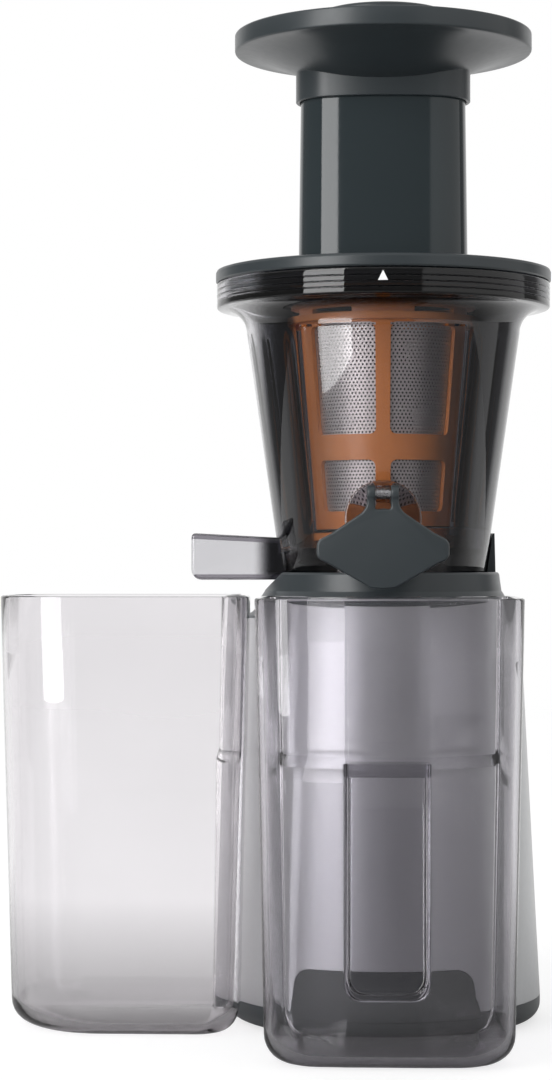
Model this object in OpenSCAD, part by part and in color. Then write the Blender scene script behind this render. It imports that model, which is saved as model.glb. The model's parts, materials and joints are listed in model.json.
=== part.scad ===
// Vertical slow juicer with a juice jug and a pulp jug.
// Millimetres. Origin on the drive axis at the standing surface,
// +Z up, -Y towards the front, where the juice tap is.

/* [Power unit] */
// Height of the dark base skirt
skirt_h = 9.8; // [8:0.1:16]
// Radius of the silver body at its bottom
body_r_bottom = 62.4; // [60:0.1:76]
// Radius of the silver body at its top
body_r_top = 54.6; // [54:0.1:60]
// Height of the silver body
body_h = 149.2; // [145:0.1:200]
// Wall of the silver body
shell_t = 2.4; // [1.6:0.1:3]
// Height of the collar above the silver body
collar_h = 18; // [17.5:0.5:26]
// Outer radius of the collar at its top
collar_r = 46.2; // [45.5:0.1:50]
// Depth of the bowl seat in the collar
seat_depth = 11; // [9:0.5:12]
// Height of the guard that rises behind the bowl
guard_h = 15.5; // [5:0.5:20]
// Half width of the raised tab at the front of the base
tab_half_w = 34; // [24:0.5:38]
// Top of the raised tab above the standing surface
tab_top = 26.7; // [20:0.1:40]

/* [Drive] */
// Radius of the motor can
motor_r = 38; // [32:0.5:39]
// Length of the motor can
motor_h = 66; // [50:1:68]
// Tooth size of the drive gears
drive_module = 1; // [0.8:0.05:1.05]
// Teeth of the motor pinion and of the layshaft pinion
pinion_teeth = 14; // [13:1:16]
// Teeth of the layshaft wheel and of the output wheel
wheel_teeth = 40; // [36:1:42]
// Radius of the round part of the spindle
spindle_r = 5; // [4:0.1:6]
// Width across flats of the spindle's hexagonal end
hex_af = 8.8; // [7:0.1:9.6]

/* [Bowl] */
// Height of the tapered bowl wall above the collar
bowl_h = 95; // [85:0.5:130]
// Outer radius of the bowl at the collar
bowl_r_bottom = 40.8; // [40:0.1:42.5]
// Outer radius of the bowl below the cove
bowl_r_top = 54.4; // [52:0.1:60]
// Wall of the bowl
bowl_t = 2.4; // [1.6:0.1:3]
// Height of the cove under the bowl's top ring
cove_h = 9.8; // [8:0.1:14]
// Outer radius of the bowl's top ring
ring_r = 66.4; // [64:0.1:74]
// Height of the bowl's top ring
ring_h = 10.2; // [8:0.1:14]
// Distance from the axis to the end of the pulp spout
spout_reach = 76; // [66:0.5:90]
// Width of the pulp spout
spout_w = 24; // [16:0.5:28]
// Outer radius of the juice outlet stub
stub_r = 14.5; // [12:0.1:16]
// Distance from the axis to the end of the juice outlet stub
stub_reach = 62; // [58:0.5:70]

/* [Strainer and auger] */
// Outer radius of the strainer at its floor
strainer_r_bottom = 26.4; // [25.5:0.1:27.5]
// Outer radius of the strainer under its rim
strainer_r_top = 33.6; // [32:0.1:35.5]
// Wall of the strainer frame
strainer_t = 1.6; // [1.2:0.1:2]
// Thickness of the steel screen
screen_t = 0.5; // [0.3:0.05:0.8]
// Tooth size of the wiper gears
wiper_module = 1; // [0.9:0.02:1.02]
// Gap between the auger flights and the screen
flight_gap = 0.8; // [0.5:0.1:1.5]
// Number of turns of each auger flight
flight_turns = 1.4; // [1:0.1:2]

/* [Lid, tray and pusher] */
// Outer radius of the lid
lid_r = 66.8; // [64:0.1:74]
// Height of the lid rim
lid_h = 5.2; // [4:0.1:8]
// Height of the feed tube above the lid
tube_h = 74.4; // [60:0.5:110]
// Half distance between the round ends of the oval feed tube
tube_half_span = 17; // [12:0.5:20]
// Radius of the feed tube's round ends
tube_end_r = 16.8; // [14:0.1:18]
// Wall of the feed tube
tube_t = 3.8; // [2.5:0.1:4.5]
// Outer radius of the food tray
tray_r = 59.2; // [50:0.1:70]
// Height of the tray's upright edge
tray_edge_h = 7.4; // [5:0.1:12]
// Depth of the tray's curved funnel
tray_drop = 13.5; // [10:0.1:16]
// Radius of the pusher's round cap
cap_r = 26; // [22:0.1:30]

/* [Juice jug] */
// Height of both jugs
jug_h = 168; // [130:1:170]
// Width of the juice jug at its rim
jug_w = 97; // [80:0.5:100]
// Distance of the juice jug's middle to the right of the drive axis
jug_x = 2.3; // [0:0.1:4]
// Distance from the axis to the front of the juice jug
jug_front = 124; // [110:0.5:140]
// Wall of both jugs
jug_t = 2.6; // [1.8:0.1:3]
// Half width of the grip recess in the juice jug
grip_half_w = 14.7; // [10:0.1:20]

/* [Pulp jug] */
// Distance from the axis to the pulp jug's far side
pulp_reach = 149; // [135:0.5:165]
// Distance from the axis to the pulp jug's near side
pulp_near = 51.4; // [50.5:0.1:56]
// Depth of the pulp jug, front to back
pulp_d = 82; // [70:0.5:90]

/* [Clearances] */
// Gap between a lift-off part and its seat
seat_gap = 0.6; // [0.3:0.1:1]
// Radial clearance of a shaft in its bearing or bush
run_gap = 0.05; // [0.02:0.01:0.09]
// Gap between still parts that meet
fit_gap = 0.1; // [0.05:0.05:0.2]
// Gap between the jugs and the body behind them
jug_gap = 1.2; // [0.8:0.1:3]

/* [Hidden] */
$fn = 96;
eps = 0.01;

// Heights, stacked from the standing surface upwards
z_shoulder = skirt_h + body_h;
z_collar = z_shoulder + collar_h;
z_seat = z_collar - seat_depth;
floor_rise = 10;
z_floor = z_collar + floor_rise;
z_gear = z_floor + 0.3;
gear_h = 4.8;
z_strain = z_gear + gear_h + 1.1;
z_cove = z_collar + bowl_h;
z_ring = z_cove + cove_h;
z_rim = z_ring + ring_h;
z_lid = z_rim + lid_h;
z_tube = z_lid + tube_h;
z_tray = z_tube + 12.5;
z_tray_rim = z_tray + tray_edge_h;
z_cap = z_tray_rim + 8.9;
z_outlet = z_floor + 10.4;

// Body taper
function body_r(z) = body_r_bottom + (body_r_top - body_r_bottom) * (z - skirt_h) / body_h;
taper = atan((body_r_bottom - body_r_top) / body_h);

// Base
foot_r_in = 50;
foot_r_out = 56;
foot_h = 3.6;
plate_z = 2.4;
plate_h = 3;
plate_r = 56.4;
skirt_round = 6;
post_r = 46;
post_angles = [45, 135, 225, 315];
screw_r = 1.8;
tab_proud = 0.9;
tab_depth = 1.2;
tab_corner = 7;
tab_flare = 3.4;

// Drive train
motor_z = 16;
frame_z = motor_z + motor_h + 3;
frame_h = 4;
stage_1_z = frame_z + frame_h + 2;
stage_2_z = stage_1_z + 10.5;
wheel_h = 7;
pinion_h = 9;
lay_y = drive_module * (pinion_teeth + wheel_teeth) / 2;
cover_z = stage_2_z + wheel_h + 3;
cover_r = 50.4;
bearing_h = 7;
bearing_r = 11;
lower_bearing_z = cover_z + 0.5;
upper_bearing_z = lower_bearing_z + 22;
neck_r = bearing_r + 3;
hex_z = z_seat + 8;
hex_top = z_strain + 10;

// Rear fittings
switch_z = 44;
switch_w = 15;
switch_h = 23;
rocker_r = 9;
gland_z = 21;
gland_r = 5;

// Collar and bowl seat
seat_r = bowl_r_bottom + seat_gap;
plug_r = bowl_r_bottom - 0.4;
seal_neck_r = 12;
seal_r = 9;
key_angles = [60, 120, 300];

// Bowl
bowl_slope = (bowl_r_top - bowl_r_bottom) / bowl_h;
function bowl_r(z) = bowl_r_bottom + bowl_slope * (z - z_collar);
ring_in_r = ring_r - 3;
hub_r = 7.5;
hub_hole_r = 9.5;
spout_z = z_collar - 3;
spout_top = z_collar + 15.5;
spout_t = 2.2;
window_half_bottom = 26;
window_half_top = 31.5;
window_proud = 1;
rib_angles = [44, 60, 76, 128, 142];
rib_proud = 0.9;
outlet_bore_r = 6.5;
z_bore = z_floor + outlet_bore_r + 0.2;

// Wiper gear set: sun on the auger, two idlers, ring on the wiper carrier
sun_teeth = 20;
ring_teeth = 60;
idler_teeth = (ring_teeth - sun_teeth) / 2;
idler_turn = 58.5;
idler_dist = wiper_module * (sun_teeth + idler_teeth) / 2;
idler_pin_r = 2;
chute_x = -19.8;
chute_r = 8.2;
chute_bore_r = 6.6;
well_r = 34.6;
carrier_r = 33.6;
carrier_rim_r = 38.2;

// Strainer
strain_slope = (strainer_r_top - strainer_r_bottom) / (z_ring - 4 - z_strain);
function strain_r(z) = strainer_r_bottom + strain_slope * (z - z_strain);
z_strain_neck = z_ring - 4;
z_strain_top = z_ring + 6.7;
z_carrier_top = z_strain_neck + 1.2;
upper_screen = [z_floor + 44, z_floor + 44 + (bowl_h - 52)];
lower_screen = [z_floor + 14, z_floor + 34];
post_half = 2.85;
post_proud = 0.4;
blade_gap = 0.3;
window_edge = 58;
slot_w = 20;
slot_h = 3.4;
slot_turn = 38;

// Feed tube oval: two round ends joined by two shallow arcs
tube_arc_r = 84;
oval_k = sqrt(pow(tube_arc_r - tube_end_r, 2) - pow(tube_half_span, 2));
tube_lean = 1;
chute_in = -tube_t;
pusher_in = -tube_t - 0.8;
pusher_z = z_lid + 9;
lid_hub_r = 7;
lid_pin_r = 4;
z_auger_top = z_strain_top - 3;
tray_run = 46;
tray_sheet = 2.4;
tray_bore_r = 13;

// Tap
hinge_z = z_outlet + 9.2;
hinge_y = -(stub_reach + 4.6);
tap_t = 4.6;
tap_back = stub_reach + 2.4;
ear_r = 3.3;
pin_r = 1.4;

// Jugs
jug_round = 11;
jug_lean = 3.2;
jug_step_z = 104;
jug_back_r = body_r_bottom + tab_proud + jug_gap;
jug_floor = 3;
grip_top = 104.8;
grip_low = 27.5;
grip_depth = 8;
pulp_front = 61;

// ---- Shared geometry ----

// Points along an arc
function arc(cx, cy, r, a0, a1, n) =
    [for (i = [0:n]) [cx + r * cos(a0 + (a1 - a0) * i / n), cy + r * sin(a0 + (a1 - a0) * i / n)]];

// Outline of the oval feed tube, moved outwards by d
function oval(d) = let (a = atan2(oval_k, tube_half_span), r = tube_end_r + d, big = tube_arc_r + d)
    concat(arc(tube_half_span, 0, r, -a, a, 16), arc(0, -oval_k, big, a + 3, 177 - a, 8),
        arc(-tube_half_span, 0, r, 180 - a, 180 + a, 16), arc(0, oval_k, big, 183 + a, 357 - a, 8));

// Rectangle with four corner radii, counter-clockwise from the front right
function corners(x0, x1, y0, y1, fr, br, bl, fl) = concat(
    arc(x1 - fr, y0 + fr, fr, -90, 0, 8), arc(x1 - br, y1 - br, br, 0, 90, 8),
    arc(x0 + bl, y1 - bl, bl, 90, 180, 8), arc(x0 + fl, y0 + fl, fl, 180, 270, 8));

// Involute gear outline: teeth, tooth size, addendum, dedendum and how much each tooth is thinned
function inv(a) = tan(a) - a * PI / 180;
function half_tooth(teeth, m, r, thin) = let (rp = m * teeth / 2, rb = rp * cos(20))
    90 / teeth + (inv(20) - inv(acos(min(1, rb / max(r, rb))))) * 180 / PI - thin / rp * 90 / PI;
function gear(teeth, m, add, ded, thin) = let (rp = m * teeth / 2,
        radii = [rp - ded, max(rp - ded + 0.3, rp * cos(20) + 0.05), rp, rp + add])
    [for (i = [0:teeth - 1]) for (j = [0:7]) let (k = j < 4 ? j : 7 - j, side = j < 4 ? -1 : 1,
        a = i * 360 / teeth + side * half_tooth(teeth, m, radii[k], thin)) radii[k] * [cos(a), sin(a)]];

// Turn that brings a gear at angle t around its partner into mesh with that partner
function mesh_turn(t, partner_teeth, partner_turn, teeth) =
    t + 180 - 360 / teeth * (0.5 - (t - partner_turn) * partner_teeth / 360);

// Turn of the wiper ring's tooth spaces that fits the right-hand idler's teeth
ring_turn = idler_turn - 360 / ring_teeth
    * (idler_turn - mesh_turn(idler_turn, sun_teeth, 0, idler_teeth)) * idler_teeth / 360;

// Height of the tray's underside at radius r
function tray_under(r) = z_tray - tray_drop / 2 * (1 - cos(180 * min(1, (tray_r - r) / tray_run)));

// Height at which the pusher's cap rests on the tray
pusher_seat = tray_under(cap_r) + tray_sheet + 0.3;

module ring_section(points) { rotate_extrude() polygon(points); }

module tube(r_out, r_in, h) {
    difference() {
        cylinder(r = r_out, h = h);
        translate([0, 0, -1]) cylinder(r = r_in, h = h + 2);
    }
}

// Outline in the XZ plane, given depth along Y from y0 to y1
module across(y0, y1) { translate([0, y1, 0]) rotate([90, 0, 0]) linear_extrude(y1 - y0) children(); }

// Outline in the YZ plane, given width along X, centred
module sideways(w) { rotate([90, 0, 90]) linear_extrude(w, center = true) children(); }

module at_posts(r) { for (a = post_angles) rotate([0, 0, a]) translate([r, 0, 0]) children(); }

// ---- Power unit ----

module foot_ring() {
    color("#2b2b2b") ring_section([[foot_r_in + 1, 0], [foot_r_out - 1, 0], [foot_r_out, 1],
        [foot_r_out, foot_h], [foot_r_in, foot_h], [foot_r_in, 1]]);
}

module base_plate() {
    color("#34373a") difference() {
        union() {
            translate([0, 0, plate_z]) cylinder(r = plate_r, h = plate_h);
            for (x = [-16, 16]) translate([x - 2, 42, plate_z + 1]) cube([4, 7, plate_h + 6]);
        }
        translate([0, 0, plate_z - 1]) tube(foot_r_out + fit_gap, foot_r_in - fit_gap,
            foot_h - plate_z + 1 + fit_gap);
        at_posts(post_r) translate([0, 0, plate_z - 1]) {
            cylinder(r = screw_r + 0.3, h = plate_h + 2);
            cylinder(r = 3.6, h = 2.2);
        }
        for (i = [-4:4]) translate([i * 6 - 1.25, -24, plate_z - 1])
            cube([2.5, 48 - abs(i) * 4, plate_h + 2]);
        for (x = [-16, 16]) translate([x - 3, 44.5, plate_z + plate_h + 2]) cube([6, 1.8, 6]);
    }
}

module base_screws() {
    color("#b5b5b8") at_posts(post_r) translate([0, 0, plate_z]) {
        cylinder(r = 3.4, h = 1.2);
        cylinder(r = screw_r, h = 16);
    }
}

// Outline of the raised tab at the front of the base, seen from the front
module tab_outline(grow) {
    w = tab_half_w + grow;
    polygon(concat([[-w - tab_flare, skirt_h - 2], [w + tab_flare, skirt_h - 2],
        [w + tab_flare * 0.4, skirt_h + 4]],
        arc(w - tab_corner, tab_top + grow - tab_corner, tab_corner, 0, 90, 6),
        arc(-w + tab_corner, tab_top + grow - tab_corner, tab_corner, 90, 180, 6),
        [[-w - tab_flare * 0.4, skirt_h + 4]]));
}

module base_skirt() {
    z_in = plate_z + plate_h + 0.2;
    r_in = plate_r + 0.3;
    r_low = body_r_bottom - skirt_round;
    spigot_r = body_r_bottom - shell_t - 0.4;
    color("#484a48") difference() {
        union() {
            ring_section(concat([[r_in, 0.6 + eps]],
                arc(r_low, 0.6 + skirt_round, skirt_round, -80, 0, 8),
                [[body_r_bottom, skirt_h], [spigot_r, skirt_h], [spigot_r, skirt_h + 3],
                 [spigot_r - 2, skirt_h + 3], [spigot_r - 2, z_in + 2], [r_in - 4, z_in + 2],
                 [r_in - 4, z_in], [r_in, z_in]]));
            intersection() {
                ring_section([[body_r(skirt_h - 2) - tab_depth, skirt_h - 2],
                    [body_r_bottom + tab_proud, skirt_h - 2],
                    [body_r(tab_top + 1) + tab_proud, tab_top + 1],
                        [body_r(tab_top + 1) - tab_depth, tab_top + 1]]);
                across(-body_r_bottom - 5, -20) tab_outline(0);
            }
            at_posts(post_r) translate([0, 0, z_in]) {
                cylinder(r = 4.5, h = 8);
                translate([0, -3, 0]) cube([r_in - post_r - 1, 6, 2]);
            }
        }
        at_posts(post_r) translate([0, 0, z_in - 1]) cylinder(r = screw_r + 0.2, h = 12);
    }
}

module body_shell() {
    lip = 7.5;
    color("#b9babb") difference() {
        ring_section([[body_r_bottom, skirt_h + fit_gap], [body_r_top, z_shoulder],
            [body_r_top - lip, z_shoulder], [body_r_top - lip, z_shoulder - shell_t],
            [body_r_top - shell_t, z_shoulder - shell_t], [body_r_bottom - shell_t, skirt_h + fit_gap]]);
        intersection() {
            ring_section([[body_r_bottom - tab_depth - fit_gap, skirt_h - 1],
                [body_r_bottom + 2, skirt_h - 1],
                [body_r(tab_top + 2) + 2, tab_top + 2], [body_r(tab_top + 2) - tab_depth - fit_gap,
                    tab_top + 2]]);
            across(-body_r_bottom - 5, -20) tab_outline(fit_gap);
        }
        switch_place() cube([switch_w + 0.4, 14, switch_h + 0.4], center = true);
        translate([0, body_r_bottom - 12, gland_z]) rotate([-90, 0, 0]) cylinder(r = gland_r + 2, h = 20);
    }
}

module collar() {
    wall = 3;
    bevel_x = plug_r - 1.2;
    color("#474b4e") difference() {
        union() {
            ring_section([[body_r_top, z_shoulder + fit_gap], [body_r_top - 0.2, z_shoulder + 1],
                [body_r_top - 2.6, z_shoulder + 2.4], [body_r_top - 4.6, z_shoulder + 5],
                [collar_r + 2.4, z_shoulder + 8.4], [collar_r + 1, z_shoulder + 10.6],
                [collar_r + 0.1, z_collar - 0.9], [collar_r - 0.3, z_collar - 0.25],
                    [collar_r - 0.9, z_collar],
                [seat_r, z_collar], [seat_r, z_seat], [seal_neck_r, z_seat], [seal_neck_r, z_seat + 5],
                [seal_r, z_seat + 5], [seal_r, z_seat + 1], [spindle_r + 1.5, z_seat + 1],
                [spindle_r + 1.5, z_seat - wall], [seat_r + wall - 0.5, z_seat - wall],
                [body_r_top - 6, z_shoulder + 2], [body_r_top - 5, z_shoulder + fit_gap]]);
            guard();
        }
        across(-40, 40) polygon([[-bevel_x, z_collar + 1], [-bevel_x, z_collar],
            [-bevel_x - 4.4, z_collar - 4],
            [-collar_r - 0.6, z_collar - 7], [-collar_r - 20, z_collar - 7],
                [-collar_r - 20, z_collar + 1]]);
        translate([-collar_r - 20, -spout_w / 2 - seat_gap, spout_z - seat_gap])
            cube([collar_r - 18, spout_w + 2 * seat_gap, 20]);
        for (a = key_angles) rotate([0, 0, a]) translate([seat_r - 1, -2.6, z_seat + 2])
            cube([2.8, 5.2, seat_depth + 1]);
    }
}

// Wall that rises behind the bowl
module guard() {
    gap = 1;
    start = 5;
    sweep = 145;
    rotate([0, 0, start]) rotate_extrude(angle = sweep) polygon([
        [bowl_r_bottom + gap, z_collar - 2], [collar_r - 0.6, z_collar - 2], [collar_r - 1, z_collar + 0.2],
        [bowl_r(z_collar + guard_h) + gap + 0.8, z_collar + guard_h],
        [bowl_r(z_collar + guard_h) + gap, z_collar + guard_h], [bowl_r_bottom + gap, z_collar]]);
}

module spindle_seal() {
    color("#1e1e1e") translate([0, 0, z_seat + 1]) ring_section([[spindle_r + run_gap, 0],
        [seal_r - fit_gap, 0],
        [seal_r - fit_gap, 4], [spindle_r + 2, 4], [spindle_r + run_gap, 2.6]]);
}

module cord_gland() {
    y_out = body_r(gland_z) - 0.2;
    color("#222222") translate([0, y_out, gland_z]) rotate([-90, 0, 0]) difference() {
        union() {
            translate([0, 0, 0.9]) cylinder(r = gland_r + 3.4, h = 1.8);
            translate([0, 0, -7]) cylinder(r = gland_r + 1.8, h = 9);
        }
        translate([0, 0, -8]) cylinder(r = gland_r - 1.6, h = 12);
    }
}

module control_board() {
    color("#1f5c3a") translate([-20, 44.7, plate_z + plate_h + 2]) cube([40, 1.4, 34]);
    color("#333333") for (x = [-12, 2]) translate([x, 46, 22]) cube([10, 5, 12]);
}

// Frame of the rear switch: its face lies on the tapered body
module switch_place() {
    translate([0, body_r(switch_z), switch_z]) rotate([taper, 0, 0]) children();
}

module switch_bezel() {
    color("#2c2e30") switch_place() difference() {
        union() {
            translate([-switch_w / 2, -9, -switch_h / 2]) cube([switch_w, 9.5, switch_h]);
            translate([-switch_w / 2 - 2, 0.9, -switch_h / 2 - 2]) cube([switch_w + 4, 1.6, switch_h + 4]);
            translate([-switch_w / 2, 0, -switch_h / 2]) cube([switch_w, 2, switch_h]);
        }
        translate([-switch_w / 2 + 2, -7.5, -switch_h / 2 + 2]) cube([switch_w - 4, 14, switch_h - 4]);
    }
}

module switch_rocker() {
    w = switch_w - 4 - 0.8;
    color("#3c4043") switch_place() translate([0, -1.5, 0]) intersection() {
        rotate([0, 90, 0]) cylinder(r = rocker_r, h = w, center = true);
        translate([0, 2.4, 0]) cube([w + 1, 9, 2 * rocker_r], center = true);
    }
}

// ---- Motor and gearbox ----

module motor_frame() {
    z_low = plate_z + plate_h + 8.4;
    color("#8d9093") difference() {
        union() {
            translate([0, 0, frame_z]) cylinder(r = cover_r, h = frame_h);
            at_posts(post_r) translate([0, 0, z_low]) cylinder(r = 4.2, h = frame_z - z_low + 1);
        }
        translate([0, 0, frame_z - 1]) cylinder(r = 9, h = frame_h + 2);
        translate([0, lay_y, frame_z + 1]) cylinder(r = 3 + run_gap, h = frame_h);
        at_posts(post_r) {
            translate([0, 0, z_low - 1]) cylinder(r = screw_r, h = 8);
            translate([0, 0, frame_z - 6]) cylinder(r = screw_r, h = frame_h + 8);
        }
    }
}

module motor_can() {
    color("#6f7276") difference() {
        translate([0, 0, motor_z]) cylinder(r = motor_r, h = motor_h + 2.9);
        translate([0, 0, motor_z + 1.6]) cylinder(r = motor_r - 1.6, h = motor_h - 1.6);
        translate([0, 0, motor_z - 1]) cylinder(r = 3 + run_gap, h = motor_h + 8);
        for (a = [0:45:315]) rotate([0, 0, a]) translate([22, -4, motor_z - 1]) cube([10, 8, 4]);
    }
}

module motor_stator() {
    z0 = motor_z + 22;
    slots = 12;
    color("#8a6a4a") difference() {
        translate([0, 0, z0]) cylinder(r = motor_r - 1.6 - fit_gap, h = 34);
        translate([0, 0, z0 - 1]) cylinder(r = 19, h = 36);
        for (i = [0:slots - 1]) rotate([0, 0, i * 360 / slots]) translate([18, -1, z0 - 1])
            cube([8, 2, 36]);
    }
}

module motor_rotor() {
    color("#9a9da0") {
        translate([0, 0, motor_z + 24]) cylinder(r = 18.4, h = 30);
        translate([0, 0, motor_z - 3]) cylinder(r = 3, h = stage_1_z - motor_z + 3 + eps);
        translate([0, 0, stage_1_z]) linear_extrude(pinion_h)
            rotate(mesh_turn(270, wheel_teeth, 0, pinion_teeth))
            polygon(gear(pinion_teeth, drive_module, drive_module, 1.2 * drive_module, 0.12));
    }
}

module motor_fan() {
    blades = 8;
    z0 = motor_z + 5;
    color("#d9d9d4") difference() {
        union() {
            translate([0, 0, z0]) cylinder(r = 8, h = 12);
            translate([0, 0, z0]) cylinder(r = 30, h = 1.6);
            for (i = [0:blades - 1]) rotate([0, 0, i * 360 / blades]) translate([6, -0.8, z0])
                cube([24, 1.6, 11]);
        }
        translate([0, 0, z0 - 1]) cylinder(r = 3, h = 14);
    }
}

module layshaft() {
    color("#c9c3b0") translate([0, lay_y, 0]) {
        translate([0, 0, frame_z + 1.4]) cylinder(r = 3, h = cover_z - frame_z + 1.2);
        translate([0, 0, stage_1_z + 1]) linear_extrude(wheel_h)
            polygon(gear(wheel_teeth, drive_module, 0.85 * drive_module, 1.3 * drive_module, 0.12));
        translate([0, 0, stage_1_z + 1]) linear_extrude(stage_2_z + wheel_h - stage_1_z)
            polygon(gear(pinion_teeth, drive_module, drive_module, 1.2 * drive_module, 0.12));
    }
}

module output_wheel() {
    color("#c9c3b0") difference() {
        translate([0, 0, stage_2_z + 0.5]) linear_extrude(wheel_h)
            rotate(mesh_turn(270, pinion_teeth, 0, wheel_teeth))
            polygon(gear(wheel_teeth, drive_module, 0.85 * drive_module, 1.3 * drive_module, 0.12));
        translate([0, 0, stage_2_z - 1]) cylinder(r = spindle_r, h = wheel_h + 3);
    }
}

module drive_spindle() {
    color("#b9bcc0") {
        translate([0, 0, stage_2_z + 0.5]) cylinder(r = spindle_r, h = hex_z - stage_2_z - 0.5 + eps);
        translate([0, 0, hex_z]) cylinder(r = hex_af / sqrt(3), h = hex_top - hex_z, $fn = 6);
    }
}

module ball_bearing(z) {
    translate([0, 0, z]) {
        tube(bearing_r - fit_gap, bearing_r - 2.4, bearing_h);
        tube(bearing_r - 2.4, spindle_r + 2.2, bearing_h - 3);
        tube(spindle_r + 2.2 + eps, spindle_r + run_gap, bearing_h);
    }
}

module lower_bearing() { color("#aeb2b6") ball_bearing(lower_bearing_z); }

module upper_bearing() { color("#aeb2b6") ball_bearing(upper_bearing_z); }

module gearbox_cover() {
    z0 = frame_z + frame_h + fit_gap;
    roof = 4;
    z_neck = upper_bearing_z + bearing_h + 1.5;
    color("#54585c") difference() {
        ring_section([[cover_r, z0], [cover_r, cover_z + roof], [post_r - 5, cover_z + roof],
            [neck_r, cover_z + roof + 8], [neck_r, z_neck],
            [spindle_r + 1, z_neck], [spindle_r + 1, upper_bearing_z + bearing_h],
                [bearing_r, upper_bearing_z + bearing_h],
            [bearing_r, upper_bearing_z], [spindle_r + 2, upper_bearing_z],
                [spindle_r + 2, lower_bearing_z + bearing_h],
            [bearing_r, lower_bearing_z + bearing_h], [bearing_r, cover_z], [cover_r - 1.6, cover_z],
            [cover_r - 1.6, z0]]);
        translate([0, lay_y, cover_z - 1]) cylinder(r = 3 + run_gap, h = 4);
        at_posts(post_r) translate([0, 0, cover_z - 1]) cylinder(r = screw_r + 0.2, h = 20);
    }
}

module gearbox_screws() {
    color("#b5b5b8") at_posts(post_r) {
        translate([0, 0, frame_z - 5]) cylinder(r = screw_r, h = cover_z + 10 - frame_z);
        translate([0, 0, cover_z + 4 + fit_gap / 2]) cylinder(r = 3.2, h = 2);
    }
}

// ---- Bowl ----

// Line of the bowl's outside from the collar to the top ring, moved inwards by d
function cove(d) = arc(bowl_r_top + cove_h - d, z_cove, cove_h, 180, 98, 8);

module bowl_wall() {
    floor_t = 2.6;
    ring_section(concat(
        [[plug_r, z_seat + 0.8], [plug_r, z_collar - 0.2], [bowl_r_bottom, z_collar + 0.6]],
        cove(0), [[ring_r - 0.8, z_ring], [ring_r, z_ring + 0.8]],
        [for (i = [0:2]) each let (z = z_ring + 2.4 + i * 2.2)
            [[ring_r, z], [ring_r - 0.4, z + 0.2], [ring_r - 0.4, z + 0.4], [ring_r, z + 0.6]]],
        [[ring_r, z_rim - 0.6], [ring_r - 0.6, z_rim], [ring_in_r, z_rim], [ring_in_r, z_ring + 2.6]],
        [for (i = [8:-1:0]) cove(bowl_t)[i] + [0, i == 8 ? 2.4 : 1.4 * i / 8]],
        [[bowl_r(z_floor) - bowl_t, z_floor], [hub_hole_r, z_floor], [hub_hole_r, z_floor - floor_t],
         [bowl_r_bottom - bowl_t, z_floor - floor_t], [plug_r - bowl_t, z_seat + 0.8]]));
}

// Ledge between the gear well and the wall; it falls towards the juice outlet
module bowl_ledge() {
    high = 7.4;
    side_r = bowl_r(z_floor) - bowl_t + 0.6;
    difference() {
        intersection() {
            ring_section([[well_r, z_floor - 1], [side_r, z_floor - 1],
                [side_r + bowl_slope * (high + 1), z_floor + high], [well_r, z_floor + high]]);
            sideways(200) polygon([[-side_r, z_floor - 2], [60, z_floor - 2], [60, z_floor + high],
                [0, z_floor + high], [-side_r, z_floor]]);
        }
        translate([0, 0, z_floor - 2]) cylinder(r = well_r, h = 20);
    }
}

module window_panel() {
    z0 = z_collar + 12;
    z1 = z_cove - 1;
    intersection() {
        ring_section([[bowl_r(z0) - 1, z0], [bowl_r(z0) + window_proud, z0],
            [bowl_r(z1) + window_proud, z1], [bowl_r(z1) - 1, z1]]);
        across(-ring_r, -20) polygon([[-window_half_bottom, z0 - 1], [window_half_bottom, z0 - 1],
            [window_half_top, z1 + 1], [-window_half_top, z1 + 1]]);
    }
}

// Flow ribs on the inside of the wall
module bowl_ribs() {
    z0 = z_collar + 19;
    z1 = z_cove - 2;
    inner = bowl_t + rib_proud;
    for (a = rib_angles) for (s = [-1, 1]) rotate([0, 0, -90 + s * a])
        across(-1.6, 1.6) polygon([[bowl_r(z0) - 1, z0], [bowl_r(z1) - 1, z1], [bowl_r(z1) - inner, z1 - 1],
            [bowl_r(z0) - inner, z0 + 1]]);
}

module bowl_moulding() {
    lug_half = 2.6;
    difference() {
        union() {
            bowl_wall();
            bowl_ledge();
            window_panel();
            bowl_ribs();
            translate([chute_x, 0, spout_z]) cylinder(r = chute_r, h = z_strain - fit_gap - spout_z);
            pulp_duct();
            translate([0, -bowl_r(z_outlet) + 3, z_outlet]) rotate([90, 0, 0])
                cylinder(r = stub_r, h = stub_reach - bowl_r(z_outlet) + 3);
            sideways(2 * lug_half) hull() {
                translate([-stub_reach + 2, hinge_z]) square([2, 2 * ear_r], center = true);
                translate([hinge_y, hinge_z]) circle(r = ear_r, $fn = 32);
            }
            for (a = key_angles) rotate([0, 0, a]) translate([plug_r - 1.5, -2, z_seat + 3])
                cube([2.5, 4, 5]);
        }
        translate([0, 0, z_floor]) intersection() {
            cylinder(r = well_r, h = z_gear + gear_h - z_floor + 1);
            difference() {
                cylinder(r = well_r, h = 20);
                translate([chute_x, 0, -1]) cylinder(r = chute_r, h = 30);
            }
        }
        translate([chute_x, 0, z_floor - 6]) cylinder(r = chute_bore_r, h = 20);
        translate([-spout_reach - 5, -spout_w / 2 + spout_t, spout_z + spout_t])
            cube([spout_reach + 5 + chute_x + chute_bore_r, spout_w - 2 * spout_t,
                z_floor - 2.6 - spout_z - spout_t]);
        translate([-spout_reach - 5, -spout_w / 2 + spout_t, spout_z + spout_t])
            cube([spout_reach + 5 - bowl_r(spout_top) - 1.5, spout_w - 2 * spout_t,
                spout_top - spout_z - 2 * spout_t]);
        translate([0, -bowl_r(z_bore) + 8, z_bore]) rotate([90, 0, 0]) cylinder(r = outlet_bore_r, h = 60);
        translate([0, hinge_y, hinge_z]) rotate([0, 90, 0]) cylinder(r = pin_r + run_gap, h = 20,
            center = true);
    }
}

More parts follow.
